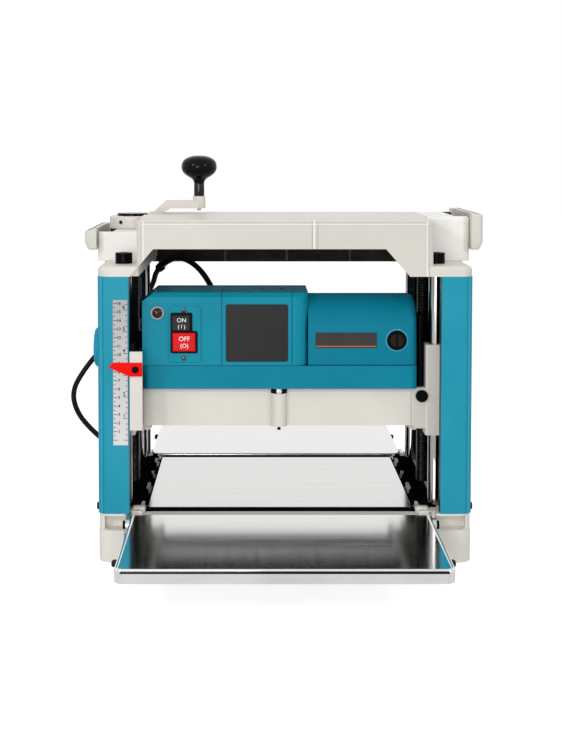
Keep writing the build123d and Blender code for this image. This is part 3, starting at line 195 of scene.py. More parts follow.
make_world()
for name, place, aim_z, size, power in (
    ("key", (-1.6, -2.0, 1.3), 0.2, 0.32, 11),
    ("fill", (1.8, -2.0, 1.1), 0.2, 0.32, 10.5),
    ("front", (-0.5, -2.4, 0.4), 0.1, 0.9, 14.5),
):
    make_lamp(name, place, (0, 0, aim_z), size, power)
top_lamp = make_lamp("top", (0.0, 0.4, 2.4), (0, 0, 0.2), 1.8, 9)
top_lamp.visible_glossy = False
make_floor()


# Materials
class Paint:
    """A node material that is built up step by step in object coordinates, in millimetres."""

    wave_length = 2 * math.pi / 20  # of a wave texture at scale 1, in metres
    noise_range = (0.25, 0.75)  # where most values of a noise texture lie
    ramp_range = (0.3, 0.7)

    def __init__(self, name, rough=0.5, metal=0.0, sheen=0.15):
        self.material = bpy.data.materials.new(name)
        self.material.use_nodes = True
        self.tree = self.material.node_tree
        self.shader = self.tree.nodes["Principled BSDF"]
        self.fix("Metallic", metal)
        self.fix("Roughness", rough)
        self.fix("Specular IOR Level", sheen)
        self.place = self.add("ShaderNodeTexCoord").outputs["Object"]
        self.relief = None

    def fix(self, socket, value):
        """A value that is the same all over the surface."""
        self.shader.inputs[socket].default_value = value

    def add(self, kind):
        return self.tree.nodes.new(kind)

    def join(self, source, target):
        self.tree.links.new(source, target)

    def noise(self, scale, stretch=(1, 1, 1), detail=4.0):
        mapping = self.add("ShaderNodeMapping")
        mapping.inputs["Scale"].default_value = stretch
        self.join(self.place, mapping.inputs["Vector"])
        noise = self.add("ShaderNodeTexNoise")
        noise.inputs["Scale"].default_value = scale
        noise.inputs["Detail"].default_value = detail
        self.join(mapping.outputs[0], noise.inputs["Vector"])
        return noise.outputs["Fac"]

    def bands(self, pitch, axis):
        """A wave along an axis."""
        wave = self.add("ShaderNodeTexWave")
        wave.bands_direction = axis
        wave.inputs["Scale"].default_value = self.wave_length / (pitch / 1000)
        self.join(self.place, wave.inputs["Vector"])
        return wave.outputs["Fac"]

    def spread(self, value, low, high):
        """A noise value stretched to a range."""
        span = self.add("ShaderNodeMapRange")
        limits = (*self.noise_range, low, high)
        for socket, limit in zip(("From Min", "From Max", "To Min", "To Max"), limits):
            span.inputs[socket].default_value = limit
        self.join(value, span.inputs["Value"])
        return span.outputs[0]

    def colour(self, value, dark, light):
        """A noise value as a colour between two others."""
        ramp = self.add("ShaderNodeValToRGB")
        for n, tone in enumerate((dark, light)):
            ramp.color_ramp.elements[n].position = self.ramp_range[n]
            ramp.color_ramp.elements[n].color = (*tone, 1)
        self.join(value, ramp.inputs["Fac"])
        return ramp.outputs["Color"]

    def bump(self, value, height, strength=1.0):
        bump = self.add("ShaderNodeBump")
        bump.inputs["Distance"].default_value = height / 1000
        bump.inputs["Strength"].default_value = strength
        self.join(value, bump.inputs["Height"])
        if self.relief:
            self.join(self.relief, bump.inputs["Normal"])
        self.relief = bump.outputs[0]
        self.join(self.relief, self.shader.inputs["Normal"])

    def tint(self, source):
        self.join(source, self.shader.inputs["Base Color"])

    def gloss(self, source):
        self.join(source, self.shader.inputs["Roughness"])

    def over(self, mask, colour, share=1.0):
        """Lay a share of another colour over the tint, where a mask is 1."""
        if share < 1:
            mask = self.math("MULTIPLY", mask, share)
        mix = self.add("ShaderNodeMix")
        mix.data_type = "RGBA"
        factor, under, upper = mix.inputs[0], mix.inputs[6], mix.inputs[7]
        self.join(mask, factor)
        self.join(self.shader.inputs["Base Color"].links[0].from_socket, under)
        if isinstance(colour, tuple):
            upper.default_value = (*colour, 1)
        else:
            self.join(colour, upper)
        self.tint(mix.outputs[2])

    def math(self, kind, first, second=0.0):
        node = self.add("ShaderNodeMath")
        node.operation = kind
        for source, socket in ((first, node.inputs[0]), (second, node.inputs[1])):
            if isinstance(source, (int, float)):
                socket.default_value = source
            else:
                self.join(source, socket)
        return node.outputs[0]

    def axis(self, name):
        split = self.add("ShaderNodeSeparateXYZ")
        self.join(self.place, split.inputs[0])
        return split.outputs[name]

    def above(self, name, limit):
        """A mask that is 1 past a limit on an axis, else 0."""
        return self.math("GREATER_THAN", self.axis(name), limit / 1000)

    def below(self, name, limit):
        """A mask that is 1 before a limit on an axis, else 0."""
        return self.math("LESS_THAN", self.axis(name), limit / 1000)

    def outside(self, name, limit):
        """A mask that is 1 past a limit on either side of an axis, else 0."""
        return self.math("GREATER_THAN", self.math("ABSOLUTE", self.axis(name)), limit / 1000)

    def line(self, name, middle, half):
        """A mask that is 1 within a half width of a place on an axis, else 0."""
        gap = self.math("ABSOLUTE", self.math("SUBTRACT", self.axis(name), middle / 1000))
        return self.math("LESS_THAN", gap, half / 1000)

    def combine(self, kind, masks):
        whole = masks[0]
        for mask in masks[1:]:
            whole = self.math(kind, whole, mask)
        return whole

    def all_of(self, *masks):
        return self.combine("MULTIPLY", masks)

    def any_of(self, *masks):
        return self.combine("MAXIMUM", masks)

    def lines(self, *rows):
        return self.any_of(*[self.line(*row) for row in rows])


def cream_paint(name="cream_paint", deep=(0.700, 0.672, 0.605), pale=(0.745, 0.717, 0.652)):
    paint = Paint(name)
    paint.tint(paint.colour(paint.noise(14, detail=6), deep, pale))
    paint.gloss(paint.spread(paint.noise(90), 0.34, 0.5))
    paint.bump(paint.noise(650, detail=2), 0.25, 0.25)
    paint.fix("Coat Weight", 0.1)
    paint.fix("Coat Roughness", 0.25)
    return paint


def frame_paint():
    """Cream; painted shade on the panel, creases and grip wells; painted light on rims and wings.
    """
    wing_x, wing_z = 174.5, 346.5
    well_x, well_y, well_z = 208.8, 77.3, 345.5
    panel_x, panel_y, panel_top = 167.5, -169, 396.4
    rim_highlight_x, rim_highlight_top = 164.6, 395.0
    seam_left, seam_highlight, seam_right = 31.2, 33.4, 37.8
    shade_crease, crease_shade_tone = 0.4, (0.30, 0.28, 0.23)
    paint = cream_paint("frame_paint")
    # Painted light: the wings are painted paler than the rest of the frame.
    lit_wings = paint.all_of(paint.outside("X", wing_x), paint.above("Z", wing_z))
    paint.over(lit_wings, (0.92, 0.905, 0.87))
    # Painted shade: the wells behind the grips are painted near black.
    dark_and_shaded_wells = paint.all_of(
        paint.outside("X", well_x), paint.line("Y", 0, well_y), paint.above("Z", well_z)
    )
    paint.over(dark_and_shaded_wells, (0.05, 0.047, 0.040))
    # Painted shade: the front panel a little darker all over, and much darker in lines at its
    # creases and seam.
    front = paint.below("Y", panel_y)
    paint.over(paint.all_of(front, paint.line("X", 0, panel_x)), crease_shade_tone, 0.12)
    crease_shades = paint.lines(
        *[("X", x, shade_crease) for x in (-panel_x, panel_x, seam_left, seam_right)],
        ("Z", panel_top, shade_crease),
    )
    paint.over(paint.all_of(crease_shades, front), crease_shade_tone, 0.55)
    # Painted highlights: pale lines on the panel's rims, on the seam and along its top.
    rim_highlights = paint.lines(
        ("X", -rim_highlight_x, 0.8), ("X", rim_highlight_x, 0.8), ("X", seam_highlight, 1.0), ("Z", rim_highlight_top, 0.5)
    )
    paint.over(paint.all_of(rim_highlights, front), (0.93, 0.92, 0.885), 0.75)
    return paint


def base_paint():
    """Matt cream, black beside the bed apart from pale gaps between rails, painted shade behind it.
    """
    well_x, well_y, well_z = 186.5, 140.5, 49.5
    gap_x, gap_edge = 166.5, 3
    shelf_x, shelf_y, shelf_half = 160, 152, 12
    paint = cream_paint("base_paint", (0.815, 0.785, 0.715), (0.865, 0.835, 0.765))
    paint.fix("Specular IOR Level", 0.0)
    paint.fix("Coat Weight", 0.0)
    beside = paint.all_of(paint.line("X", work_x, well_x), paint.line("Y", 0, well_y))
    gaps = paint.lines(*[
        ("Y", (start + stop) / 2, (stop - start) / 2 - gap_edge)
        for start, (stop, _, _) in zip(gap_starts, rails)
    ])
    gaps = paint.all_of(gaps, paint.line("X", work_x, gap_x))
    beside = paint.math("SUBTRACT", beside, gaps)
    # Painted shade: the shelf behind the bed is painted black, as the gap there lies in shade.
    shaded_shelf = paint.all_of(
        paint.line("X", work_x, shelf_x), paint.line("Y", shelf_y, shelf_half)
    )
    dark_and_shaded_wells = paint.all_of(paint.above("Z", well_z), paint.any_of(beside, shaded_shelf))
    tone = paint.noise(45, detail=6)
    paint.over(dark_and_shaded_wells, paint.colour(tone, (0.002, 0.002, 0.002), (0.012, 0.011, 0.010)))
    return paint


def head_paint():
    """Cream; painted highlight on the beam's top; painted shade round the lead screws and a sleeve
    top.
    """
    beam_x, beam_half, beam_y, beam_highlight_z = -15, 148, -125, 198.4
    boss_x, boss_y = 174, 45
    sleeve_top_x, sleeve_top_y, sleeve_top_half, sleeve_top_z = -160, -119, 20, 240.5
    paint = cream_paint("head_paint")
    beam = paint.all_of(paint.below("Y", beam_y), paint.line("X", beam_x, beam_half))
    # Painted highlight: a pale line along the front beam's top, where the cowl shades it.
    paint.over(paint.all_of(beam, paint.line("Z", beam_highlight_z, 1.1)), (0.96, 0.945, 0.91))
    # Painted shade: near black on the bosses round the lead screws and on the top of the left front
    # sleeve, which sit in shade.
    shaded_bosses = paint.all_of(paint.outside("X", boss_x), paint.line("Y", 0, boss_y))
    shaded_sleeve_top = paint.all_of(
        paint.line("Y", sleeve_top_y, sleeve_top_half), paint.below("X", sleeve_top_x), paint.above("Z", sleeve_top_z)
    )
    paint.over(paint.any_of(shaded_bosses, shaded_sleeve_top), (0.012, 0.011, 0.010))
    return paint


def teal_plastic(name="teal_plastic", deep=(0.003, 0.205, 0.305), pale=(0.005, 0.236, 0.346)):
    paint = Paint(name, sheen=0.08)
    paint.tint(paint.colour(paint.noise(11, detail=5), deep, pale))
    paint.gloss(paint.spread(paint.noise(160), 0.3, 0.42))
    paint.bump(paint.noise(1900, detail=2), 0.12, 0.22)
    return paint


def cover_plastic():
    """Teal, with painted shade and highlight lines, and painted shade where the posts stand against
    it.
    """
    shade_crease, highlight_ridge = 211.8, 214.2
    panel_x, panel_y = 216.8, 160
    end_x, end_y = 208, 169.4
    paint = teal_plastic("cover_plastic", (0.016, 0.284, 0.404), (0.026, 0.320, 0.450))
    # Painted shade: a dark line along each outer edge.
    paint.over(paint.lines(("X", -shade_crease, 0.7), ("X", shade_crease, 0.7)), (0.004, 0.15, 0.23), 0.45)
    # Painted highlight: a pale line beside it.
    paint.over(paint.lines(("X", -highlight_ridge, 1.0), ("X", highlight_ridge, 1.0)), (0.06, 0.47, 0.62), 0.45)
    # Painted shade: the inner faces that the posts stand against are painted near black.
    panel = paint.all_of(paint.line("X", 0, panel_x), paint.line("Y", 0, panel_y))
    ends = paint.all_of(paint.line("X", 0, end_x), paint.line("Y", 0, end_y))
    inner_shade = paint.colour(paint.noise(60), (0.006, 0.006, 0.007), (0.012, 0.012, 0.013))
    paint.over(paint.any_of(panel, ends), inner_shade)
    return paint


def housing_plastic(name, deep, pale):
    """Teal with two upright panel lines and a dark seam at the foot."""
    line_left, line_right, seam_z = -74.2, 8.8, 226.2
    paint = teal_plastic(name, deep, pale)
    upright = paint.lines(("X", line_left, 0.5), ("X", line_right, 0.5))
    grooves = paint.any_of(upright, paint.line("Z", seam_z, 0.7))
    paint.over(grooves, (0.002, 0.03, 0.045), 0.7)
    paint.bump(paint.math("SUBTRACT", 1.0, upright), 0.6, 0.8)
    return paint


def plain_plastic(name, dark, light, rough, grain=0.2, sheen=0.15):
    paint = Paint(name, sheen=sheen)
    paint.tint(paint.colour(paint.noise(40, detail=5), dark, light))
    paint.gloss(paint.spread(paint.noise(220), rough - 0.06, rough + 0.06))
    paint.bump(paint.noise(1500, detail=2), 0.1, grain)
    return paint


def brushed_steel(name, dark, light, rough, stretch, metal=1.0):
    """Metal with fine marks drawn out along one way."""
    paint = Paint(name, metal=metal)
    marks = paint.noise(6, stretch=stretch, detail=5)
    paint.tint(paint.colour(marks, dark, light))
    paint.gloss(paint.spread(marks, rough - 0.05, rough + 0.06))
    paint.bump(marks, 0.05, 0.12)
    return paint


def folded_steel():
    """Polished sheet with a painted shadow line under the rolled edge of its lip."""
    lip_x, lip_y, lip_shadow_z = 173.8, 384.8, 51.7
    paint = brushed_steel(
        "folded_steel", (0.70, 0.70, 0.69), (0.82, 0.82, 0.81), 0.11, along_x
    )
    sides = paint.math("SUBTRACT", 1.0, paint.line("X", work_x, lip_x))
    lip = paint.any_of(sides, paint.outside("Y", lip_y))
    # Painted shadow: a dark line under the rolled edge.
    paint.over(paint.all_of(lip, paint.line("Z", lip_shadow_z, 1.3)), (0.02, 0.02, 0.021))
    return paint


def scale_sheet():
    """Satin sheet that is paler at its foot."""
    pale_from, pale_gain = 0.300, 6.0
    paint = brushed_steel(
        "scale_sheet", (0.30, 0.30, 0.30), (0.37, 0.37, 0.37), 0.34, (200, 3, 6), metal=0.2
    )
    depth = paint.math("SUBTRACT", pale_from, paint.axis("Z"))
    paint.over(paint.math("MULTIPLY", depth, pale_gain), (0.66, 0.65, 0.64))
    return paint


def mirror_chrome(name, deep, pale):
    paint = Paint(name, metal=1.0)
    haze = paint.noise(25, stretch=(1, 1, 0.2), detail=5)
    paint.tint(paint.colour(haze, deep, pale))
    paint.gloss(paint.spread(haze, 0.03, 0.07))
    return paint


def ribbed(name, dark, light, rough, metal, pitch, axis, height):
    """A surface with even ridges across an axis, such as a thread, a chain or a belt."""
    paint = Paint(name, metal=metal)
    ridges = paint.bands(pitch, axis)
    paint.tint(paint.colour(ridges, dark, light))
    paint.gloss(paint.spread(paint.noise(200), rough - 0.06, rough + 0.08))
    paint.bump(ridges, height, 0.9)
    return paint


along_x = (2, 260, 2)  # stretch of a noise that draws its marks out along X
even = (60, 60, 60)

cream = cream_paint()
teal = teal_plastic()
# A paler teal for the brush cap's bezel: a painted highlight on its chamfered edge.
highlight_teal = teal_plastic("highlight_teal", (0.05, 0.40, 0.54), (0.07, 0.45, 0.60))
covers = cover_plastic()
housing = housing_plastic("housing_plastic", (0.005, 0.244, 0.345), (0.008, 0.278, 0.388))
barrel = housing_plastic("barrel_plastic", (0.002, 0.188, 0.284), (0.004, 0.217, 0.322))

black = plain_plastic(
    "black_plastic", (0.0015, 0.0015, 0.002), (0.003, 0.003, 0.004), 0.2, 0.05, sheen=0.05
)
matt_black = plain_plastic(
    "matt_black", (0.002, 0.002, 0.002), (0.005, 0.005, 0.005), 0.6, 0.1, sheen=0.0
)
knob_black = plain_plastic(
    "knob_plastic", (0.001, 0.001, 0.001), (0.002, 0.002, 0.002), 0.11, 0.0, sheen=0.13
)
button_black = plain_plastic(
    "button_black", (0.016, 0.013, 0.012), (0.026, 0.021, 0.019), 0.35
)
# Near black for the sheet inside the rear beam: painted shade.
painted_shade_black = plain_plastic(
    "painted_shade_black", (0.040, 0.036, 0.028), (0.065, 0.058, 0.046), 0.5, 0.1, sheen=0.03
)
# Grey for the beads there: the beam's ribs painted as they look in shade.
shaded_bead_grey = plain_plastic(
    "shaded_bead_grey", (0.17, 0.16, 0.13), (0.22, 0.21, 0.18), 0.5, 0.1, sheen=0.03
)
cap_brown = plain_plastic(
    "cap_brown", (0.010, 0.006, 0.004), (0.018, 0.010, 0.007), 0.3, sheen=0.1
)
strip_brown = plain_plastic("strip_brown", (0.036, 0.028, 0.028), (0.052, 0.040, 0.040), 0.35)
red = plain_plastic("red_plastic", (0.66, 0.006, 0.006), (0.74, 0.010, 0.009), 0.3, sheen=0.1)
pointer_red = plain_plastic(
    "pointer_red", (0.84, 0.003, 0.002), (0.92, 0.004, 0.003), 0.3, sheen=0.05
)
rubber = plain_plastic(
    "rubber", (0.008, 0.008, 0.009), (0.014, 0.014, 0.015), 0.5, 0.35, sheen=0.1
)
lens = plain_plastic(
    "lamp_lens", (0.014, 0.003, 0.003), (0.030, 0.006, 0.005), 0.1, 0.0, sheen=0.32
)
white_ink = plain_plastic("white_ink", (0.80, 0.80, 0.79), (0.86, 0.86, 0.85), 0.4)
black_ink = plain_plastic(
    "black_ink", (0.008, 0.008, 0.009), (0.014, 0.014, 0.015), 0.45, sheen=0.1
)
orange_ink = plain_plastic("orange_ink", (0.55, 0.16, 0.06), (0.62, 0.2, 0.08), 0.4)

fold_steel = folded_steel()
scale_metal = scale_sheet()
table_steel = brushed_steel(
    "table_steel", (0.60, 0.60, 0.59), (0.74, 0.74, 0.73), 0.12, along_x
)
plate_black = brushed_steel(
    "plate_black", (0.016, 0.015, 0.015), (0.024, 0.023, 0.023), 0.36, (3, 1, 300), metal=0.2
)
bright_steel = brushed_steel(
    "bright_steel", (0.5, 0.5, 0.51), (0.62, 0.62, 0.63), 0.28, (90, 90, 6)
)
sheet_steel = brushed_steel(
    "sheet_steel", (0.36, 0.37, 0.38), (0.46, 0.47, 0.48), 0.36, (3, 120, 40)
)
dark_steel = brushed_steel(
    "dark_steel", (0.018, 0.018, 0.02), (0.034, 0.034, 0.036), 0.34, (40, 40, 40)
)
neck_steel = brushed_steel(
    "neck_steel", (0.030, 0.030, 0.031), (0.042, 0.042, 0.043), 0.14, (60, 60, 6)
)
screw_steel = brushed_steel("screw_steel", (0.10, 0.11, 0.11), (0.17, 0.18, 0.18), 0.22, even)
lamp_ring = brushed_steel("lamp_ring", (0.07, 0.075, 0.08), (0.12, 0.125, 0.13), 0.25, even)
bronze = brushed_steel("bronze", (0.42, 0.27, 0.11), (0.52, 0.35, 0.16), 0.33, (60, 60, 20))
chrome = mirror_chrome("chrome", (0.76, 0.76, 0.78), (0.82, 0.82, 0.84))
# A darker copy of chrome for the guide posts: painted reflection of dark surroundings.
dark_reflection_chrome = mirror_chrome("dark_reflection_chrome", (0.36, 0.35, 0.34), (0.44, 0.43, 0.42))

thread = ribbed("screw_thread", (0.02, 0.02, 0.02), (0.11, 0.11, 0.11), 0.3, 1.0, 2.0, "Z", 0.7)
chain = ribbed("chain_links", (0.10, 0.10, 0.11), (0.36, 0.36, 0.37), 0.35, 1.0, 6.4, "Y", 1.0)
belt = ribbed(
    "belt_ribs", (0.010, 0.010, 0.011), (0.022, 0.022, 0.023), 0.6, 0.0, 1.6, "X", 0.6
)
stack = ribbed("core_sheets", (0.16, 0.15, 0.14), (0.30, 0.28, 0.26), 0.4, 1.0, 1.0, "X", 0.3)

slot_paints = {
    "cream_paint": cream, "teal_plastic": teal, "black_plastic": black, "red_plastic": red,
    "polished_steel": table_steel, "chrome": chrome, "steel": bright_steel,
    "dark_steel": dark_steel, "bronze": bronze, "rubber": rubber, "scale_plate": scale_metal,
}
node_paints = {
    "base": base_paint(), "top_frame": frame_paint(), "head_frame": head_paint(),
    "left_cover": covers, "right_cover": covers, "switch_housing": housing,
    "switch_plate": housing, "motor_housing": barrel, "front_table": fold_steel,
    "rear_table": fold_steel, "guide_posts": dark_reflection_chrome, "left_screw": thread,
    # The lead nuts take dark steel in place of bronze: painted shade, as they sit in shade inside
    # the frame.
    "right_screw": thread, "lead_nuts": dark_steel, "lift_chain": chain, "feed_chain": chain,
    "drive_belt": belt, "stator": stack, "chip_hood": sheet_steel, "pilot_lamp": lamp_ring,
    "depth_pointer": pointer_red, "on_button": button_black, "crank_knob": knob_black,
    "crank_cap": knob_black, "post_bolts": black, "cover_screws": black, "head_screws": black,
    "hinge_pins": black, "stop_button": black, "stop_rod": black,
}
for row in frame["record"]["subparts"]:
    node = frame["nodes"][row["node"]]
    paint = node_paints.get(row["node"], slot_paints[row["material_slot"]])
    node.data.materials.clear()
    node.data.materials.append(paint.material)


# Small builders: a form is a list of rings of points in metres
def to_mesh(source):
    """The mesh of a curve or of lettering, which itself goes."""
    graph = bpy.context.evaluated_depsgraph_get()
    mesh = bpy.data.meshes.new_from_object(source.evaluated_get(graph))
    bpy.data.objects.remove(source)
    return mesh


def finish_piece(piece, body, paint, smooth=True):
    """A piece takes a material and a slot, and rides on a body."""
    piece.data.materials.append(paint.material)
    if smooth and piece.type == "MESH":
        piece.data.shade_smooth()
    if body is not None:
        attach(piece, body)
    return piece


def skin(bm, rings, ends="capped", closed=True):
    """Faces between rings. Their ends are capped, open, or joined to each other."""
    made = [[bm.verts.new(p) for p in ring] for ring in rings]
    after = made[1:] + made[:1] if ends == "joined" else made[1:]
    for low, high in zip(made, after):
        for n in range(len(low) - (0 if closed else 1)):
            m = (n + 1) % len(low)
            bm.faces.new((low[n], low[m], high[m], high[n]))
    if ends == "capped":
        bm.faces.new(made[0][::-1])
        bm.faces.new(made[-1])


def add_piece(name, forms, body, paint, smooth=True, ends="capped", closed=True):
    """One piece made of forms."""
    bm = bmesh.new()
    for rings in forms:
        skin(bm, rings, ends, closed)
    bmesh.ops.recalc_face_normals(bm, faces=bm.faces)
    mesh = bpy.data.meshes.new(name)
    bm.to_mesh(mesh)
    bm.free()
    return finish_piece(new_object(name, mesh), body, paint, smooth)


def rounded(x0, x1, y0, y1, r, steps=5):
    """The outline of a rounded rectangle, in order."""
    points = []
    for cx, cy, start in (
        (x1 - r, y1 - r, 0), (x0 + r, y1 - r, 90), (x0 + r, y0 + r, 180), (x1 - r, y0 + r, 270)
    ):
        for n in range(steps + 1):
            turn = math.radians(start + 90 * n / steps)
            points.append((cx + r * math.cos(turn), cy + r * math.sin(turn)))
    return points


def across_x(outline, x):
    return [mm(x, y, z) for y, z in outline]


def across_y(outline, y):
    return [mm(x, y, z) for x, z in outline]


def across_z(outline, z):
    return [mm(x, y, z) for x, y in outline]


def block(x0, x1, y0, y1, z0, z1):
    outline = [(x0, y0), (x1, y0), (x1, y1), (x0, y1)]
    return [across_z(outline, z) for z in (z0, z1)]


def front_plate(x0, x1, z0, z1, face, back, r, edge):
    """A rounded plate that faces the front, with softened front edges."""
    outline = rounded(x0, x1, z0, z1, r)
    inner = rounded(x0 + edge, x1 - edge, z0 + edge, z1 - edge, max(r - edge, 0.05))
    return [across_y(outline, back), across_y(outline, face + edge), across_y(inner, face)]


def front_frame(outer, hole, face, back):
    """A raised frame round a rectangular hole, facing the front."""
    r, edge, wall = 2, 0.6, 1.2
    x0, x1, z0, z1 = outer
    outline = rounded(*outer, r)
    soft = rounded(x0 + edge, x1 - edge, z0 + edge, z1 - edge, r - edge)
    inner = rounded(*hole, r - wall)
    return [
        across_y(outline, back), across_y(outline, face + edge), across_y(soft, face),
        across_y(inner, face), across_y(inner, back),
    ]


def turned(axis):
    """The turn that takes the Z axis to another one."""
    return Vector(to_top).rotation_difference(Vector(axis)).to_matrix()


def lathe(profile, place, axis, steps=24):
    """A turned form: (radius, distance) points about an axis through a place."""
    turn = turned(axis)
    angles = [2 * math.pi * n / steps for n in range(steps)]
    rings = []
    for r, along in profile:
        spots = [turn @ Vector((r * math.cos(a), r * math.sin(a), along)) for a in angles]
        rings.append([mm(*(spot + Vector(place))) for spot in spots])
    return rings


def cross_screw(name, place, axis, r, height, body):
    """A domed screw head with a cross slot."""
    dome = [(r, 0), (r, 0.4 * height), (0.8 * r, 0.85 * height), (0.45 * r, height)]
    add_piece(name, [lathe(dome, place, axis)], body, screw_steel)
    turn = turned(axis)
    long, wide, low, top = 0.55 * r, 0.14 * r, 0.8 * height, height + 0.05
    forms = []
    for a, b in ((long, wide), (wide, long)):
        corners = [(-a, -b), (a, -b), (a, b), (-a, b)]
        forms.append([
            [mm(*(turn @ Vector((x, y, z)) + Vector(place))) for x, y in corners]
            for z in (low, top)
        ])
    add_piece(f"{name}_slot", forms, body, black_ink, smooth=False)


ink = 0.05  # half the thickness of lettering


def label(name, text, place, size, paint, body, bold=0.007):
    """Plain lettering on a face that looks to the front."""
    data = bpy.data.curves.new(name, "FONT")
    data.body = text
    data.size = size / 1000
    data.align_x = "CENTER"
    data.align_y = "CENTER"
    data.extrude = ink / 1000
    data.offset = size * bold / 1000
    mesh = to_mesh(new_object(f"{name}_line", data))
    mesh.transform(Matrix.Translation(mm(*place)) @ Matrix.Rotation(math.pi / 2, 4, "X"))
    finish_piece(new_object(name, mesh), body, paint, smooth=False)


# Cords: the loop between head and hook, then the tail, the coil and the plug
plug = Box("cord_plug")
cord_r = 3.75
floor_layer, top_layer = cord_r, plug.middle_z  # heights of the coil's two layers
coil_x, coil_y = -30, 245.1  # where the first turn starts
coil_r, coil_lane = 52.825, 4.15
loop_route = [
    (-85, -20, 285), (-85, 9.34, 285), (-92.11, 41.125, 303.87), (-110.28, 69.65, 325.8),
    (-132.4, 97.36, 336), (-152.15, 124.255, 330.9), (-164, 143, 320),
]
tail_route = [
    (-164, 143, 320), (-172.15, 155.91, 312.53), (-177.3, 177, 293.12), (-191.93, 189.97, 268.8),
    (-219.86, 197.11, 234.88), (-253.11, 200.48, 198.08), (-281.04, 203.03, 163.84),
    (-297, 207.02, 134.08), (-291.02, 213.04, 103.04), (-271.07, 221, 76.16),
    (-243.14, 228.97, 49.92), (-211.22, 236.01, 26.88), (-177.3, 241.02, 9.92),
    (-141, 243.6, floor_layer), (-82.5, coil_y, floor_layer), (-37.5, coil_y, floor_layer),
]


def half_turn(centre_y, r, low, high, start):
    """Six points of a half circle of the coil, from its front or its rear."""
    parts = 6
    points = []
    for n in range(1, parts + 1):
        share = n / parts
        turn = start + math.pi * share
        reach = r / math.cos(math.pi / (2 * parts)) if n < parts else r
        points.append((
            coil_x + reach * math.cos(turn), centre_y + reach * math.sin(turn),
            low + (high - low) * share,
        ))
    return points


def coil_route():
    """The coil's turns: in on the floor, up one layer, and out again to the plug."""
    radii = [coil_r - coil_lane * n for n in range(7)]
    turns = [(r, floor_layer, floor_layer) for r in radii[:-1]]
    turns.append((radii[-1], floor_layer, top_layer))
    turns += [(r, top_layer, top_layer) for r in reversed(radii[:-1])]
    y = coil_y
    start = -math.pi / 2
    route = [(coil_x, y, floor_layer)]
    for n, (r, low, high) in enumerate(turns):
        side = -1 if n % 2 else 1
        route += half_turn(y + side * r, r, low, high, start)
        y += 2 * side * r
        start += math.pi
    return route + [(x, y, top_layer) for x in ((coil_x + plug.right) / 2, plug.right)]


def cord_curve(name, route, r):
    """One smooth line through the air with a route's points as its control points."""
    curve = bpy.data.curves.new(name, "CURVE")
    curve.dimensions = "3D"
    spline = curve.splines.new("NURBS")
    spline.points.add(len(route) - 1)
    for point, place in zip(spline.points, route):
        point.co = (*mm(*place), 1)
    spline.order_u = 3
    spline.use_endpoint_u = True
    spline.resolution_u = 8
    curve.bevel_depth = r / 1000
    curve.bevel_resolution = 5
    curve.use_fill_caps = True
    return new_object(name, curve)


def curve_points(name, route):
    """The points along a route's smooth line."""
    return [v.co.copy() for v in to_mesh(cord_curve(name, route, 0)).vertices]


loop_line = curve_points("loop_line", loop_route)
loop = new_object("mains_cord_loop", to_mesh(cord_curve("loop_curve", loop_route, cord_r)))
finish_piece(loop, None, rubber)
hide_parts("cord_loop")
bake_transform(loop)
tail = cord_curve("mains_cord", tail_route + coil_route(), cord_r)
tail_line = curve_points("tail_line", tail_route + coil_route())
finish_piece(tail, "chassis", rubber)
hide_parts("cord_tail", "cord_coil")

# Switch: black frames round the buttons, their lettering, two screws and the lamp's lens
plate = Box("switch_plate")
on_button, off_button = Box("on_button"), Box("off_button")
button_gap = 0.3
forms = []
for button, left, right, foot, top, raised in (
    (on_button, 1.4, 2.2, 2.0, 2.4, 1.6),
    (off_button, 2.4, 2.4, 2.4, 1.7, 2.0),
):
    outer = (button.left - left, button.right + right, button.foot - foot, button.top + top)
    hole = (
        button.left - button_gap, button.right + button_gap,
        button.foot - button_gap, button.top + button_gap,
    )
    forms.append(front_frame(outer, hole, plate.front - raised, plate.front))
add_piece("switch_frames", forms, "head", black, smooth=False, ends="open")
for name, text, button, right, up, size, slot in (
    ("on_word", "ON", on_button, 0.8, 3.3, 7.0, "black_plastic"),
    ("on_sign", "( I )", on_button, 0.8, -4.1, 6.2, "black_plastic"),
    ("off_word", "OFF", off_button, 0.5, 3.8, 7.6, "red_plastic"),
    ("off_sign", "(O)", off_button, 0.5, -4.4, 6.8, "red_plastic"),
):
    place = (button.middle_x + right, button.front - ink, button.middle_z + up)
    label(name, text, place, size, white_ink, button.node)
screw_x = plate.middle_x - 1.1
for name, z in (("switch_screw_top", plate.top - 4.6), ("switch_screw_low", plate.foot + 4.4)):
    cross_screw(name, (screw_x, plate.front, z), to_front, 2.9, 1.6, "head")
lamp = Box("pilot_lamp")
dome = [(5.9, 0), (5.6, 0.45), (4.9, 1.0), (3.8, 1.6), (2.5, 2.0), (1.2, 2.2), (0.3, 2.25)]
glass = lathe(dome, (lamp.middle_x, lamp.front, lamp.middle_z), to_front)
add_piece("lamp_glass", [glass], "head", lens)

# Collar and screw on the boss of the depth gauge
gauge_x, gauge_y, gauge_r = -6.5, -137, 9.8
collar_soft = 0.25
profile = [
    (gauge_r - collar_soft, 192.8), (gauge_r, 193.4), (gauge_r, 198.2),
    (gauge_r - collar_soft, 198.6),
]
collar = lathe(profile, (gauge_x, gauge_y, 0), to_top, steps=32)
add_piece("gauge_collar", [collar], "head", black)
dome = [(3.4, 0), (3.4, 0.5), (2.4, 1.1), (1.0, 1.3)]
screw = lathe(dome, (gauge_x, gauge_y - gauge_r + 0.1, 195.8), to_front)
add_piece("gauge_screw", [screw], "head", chrome)

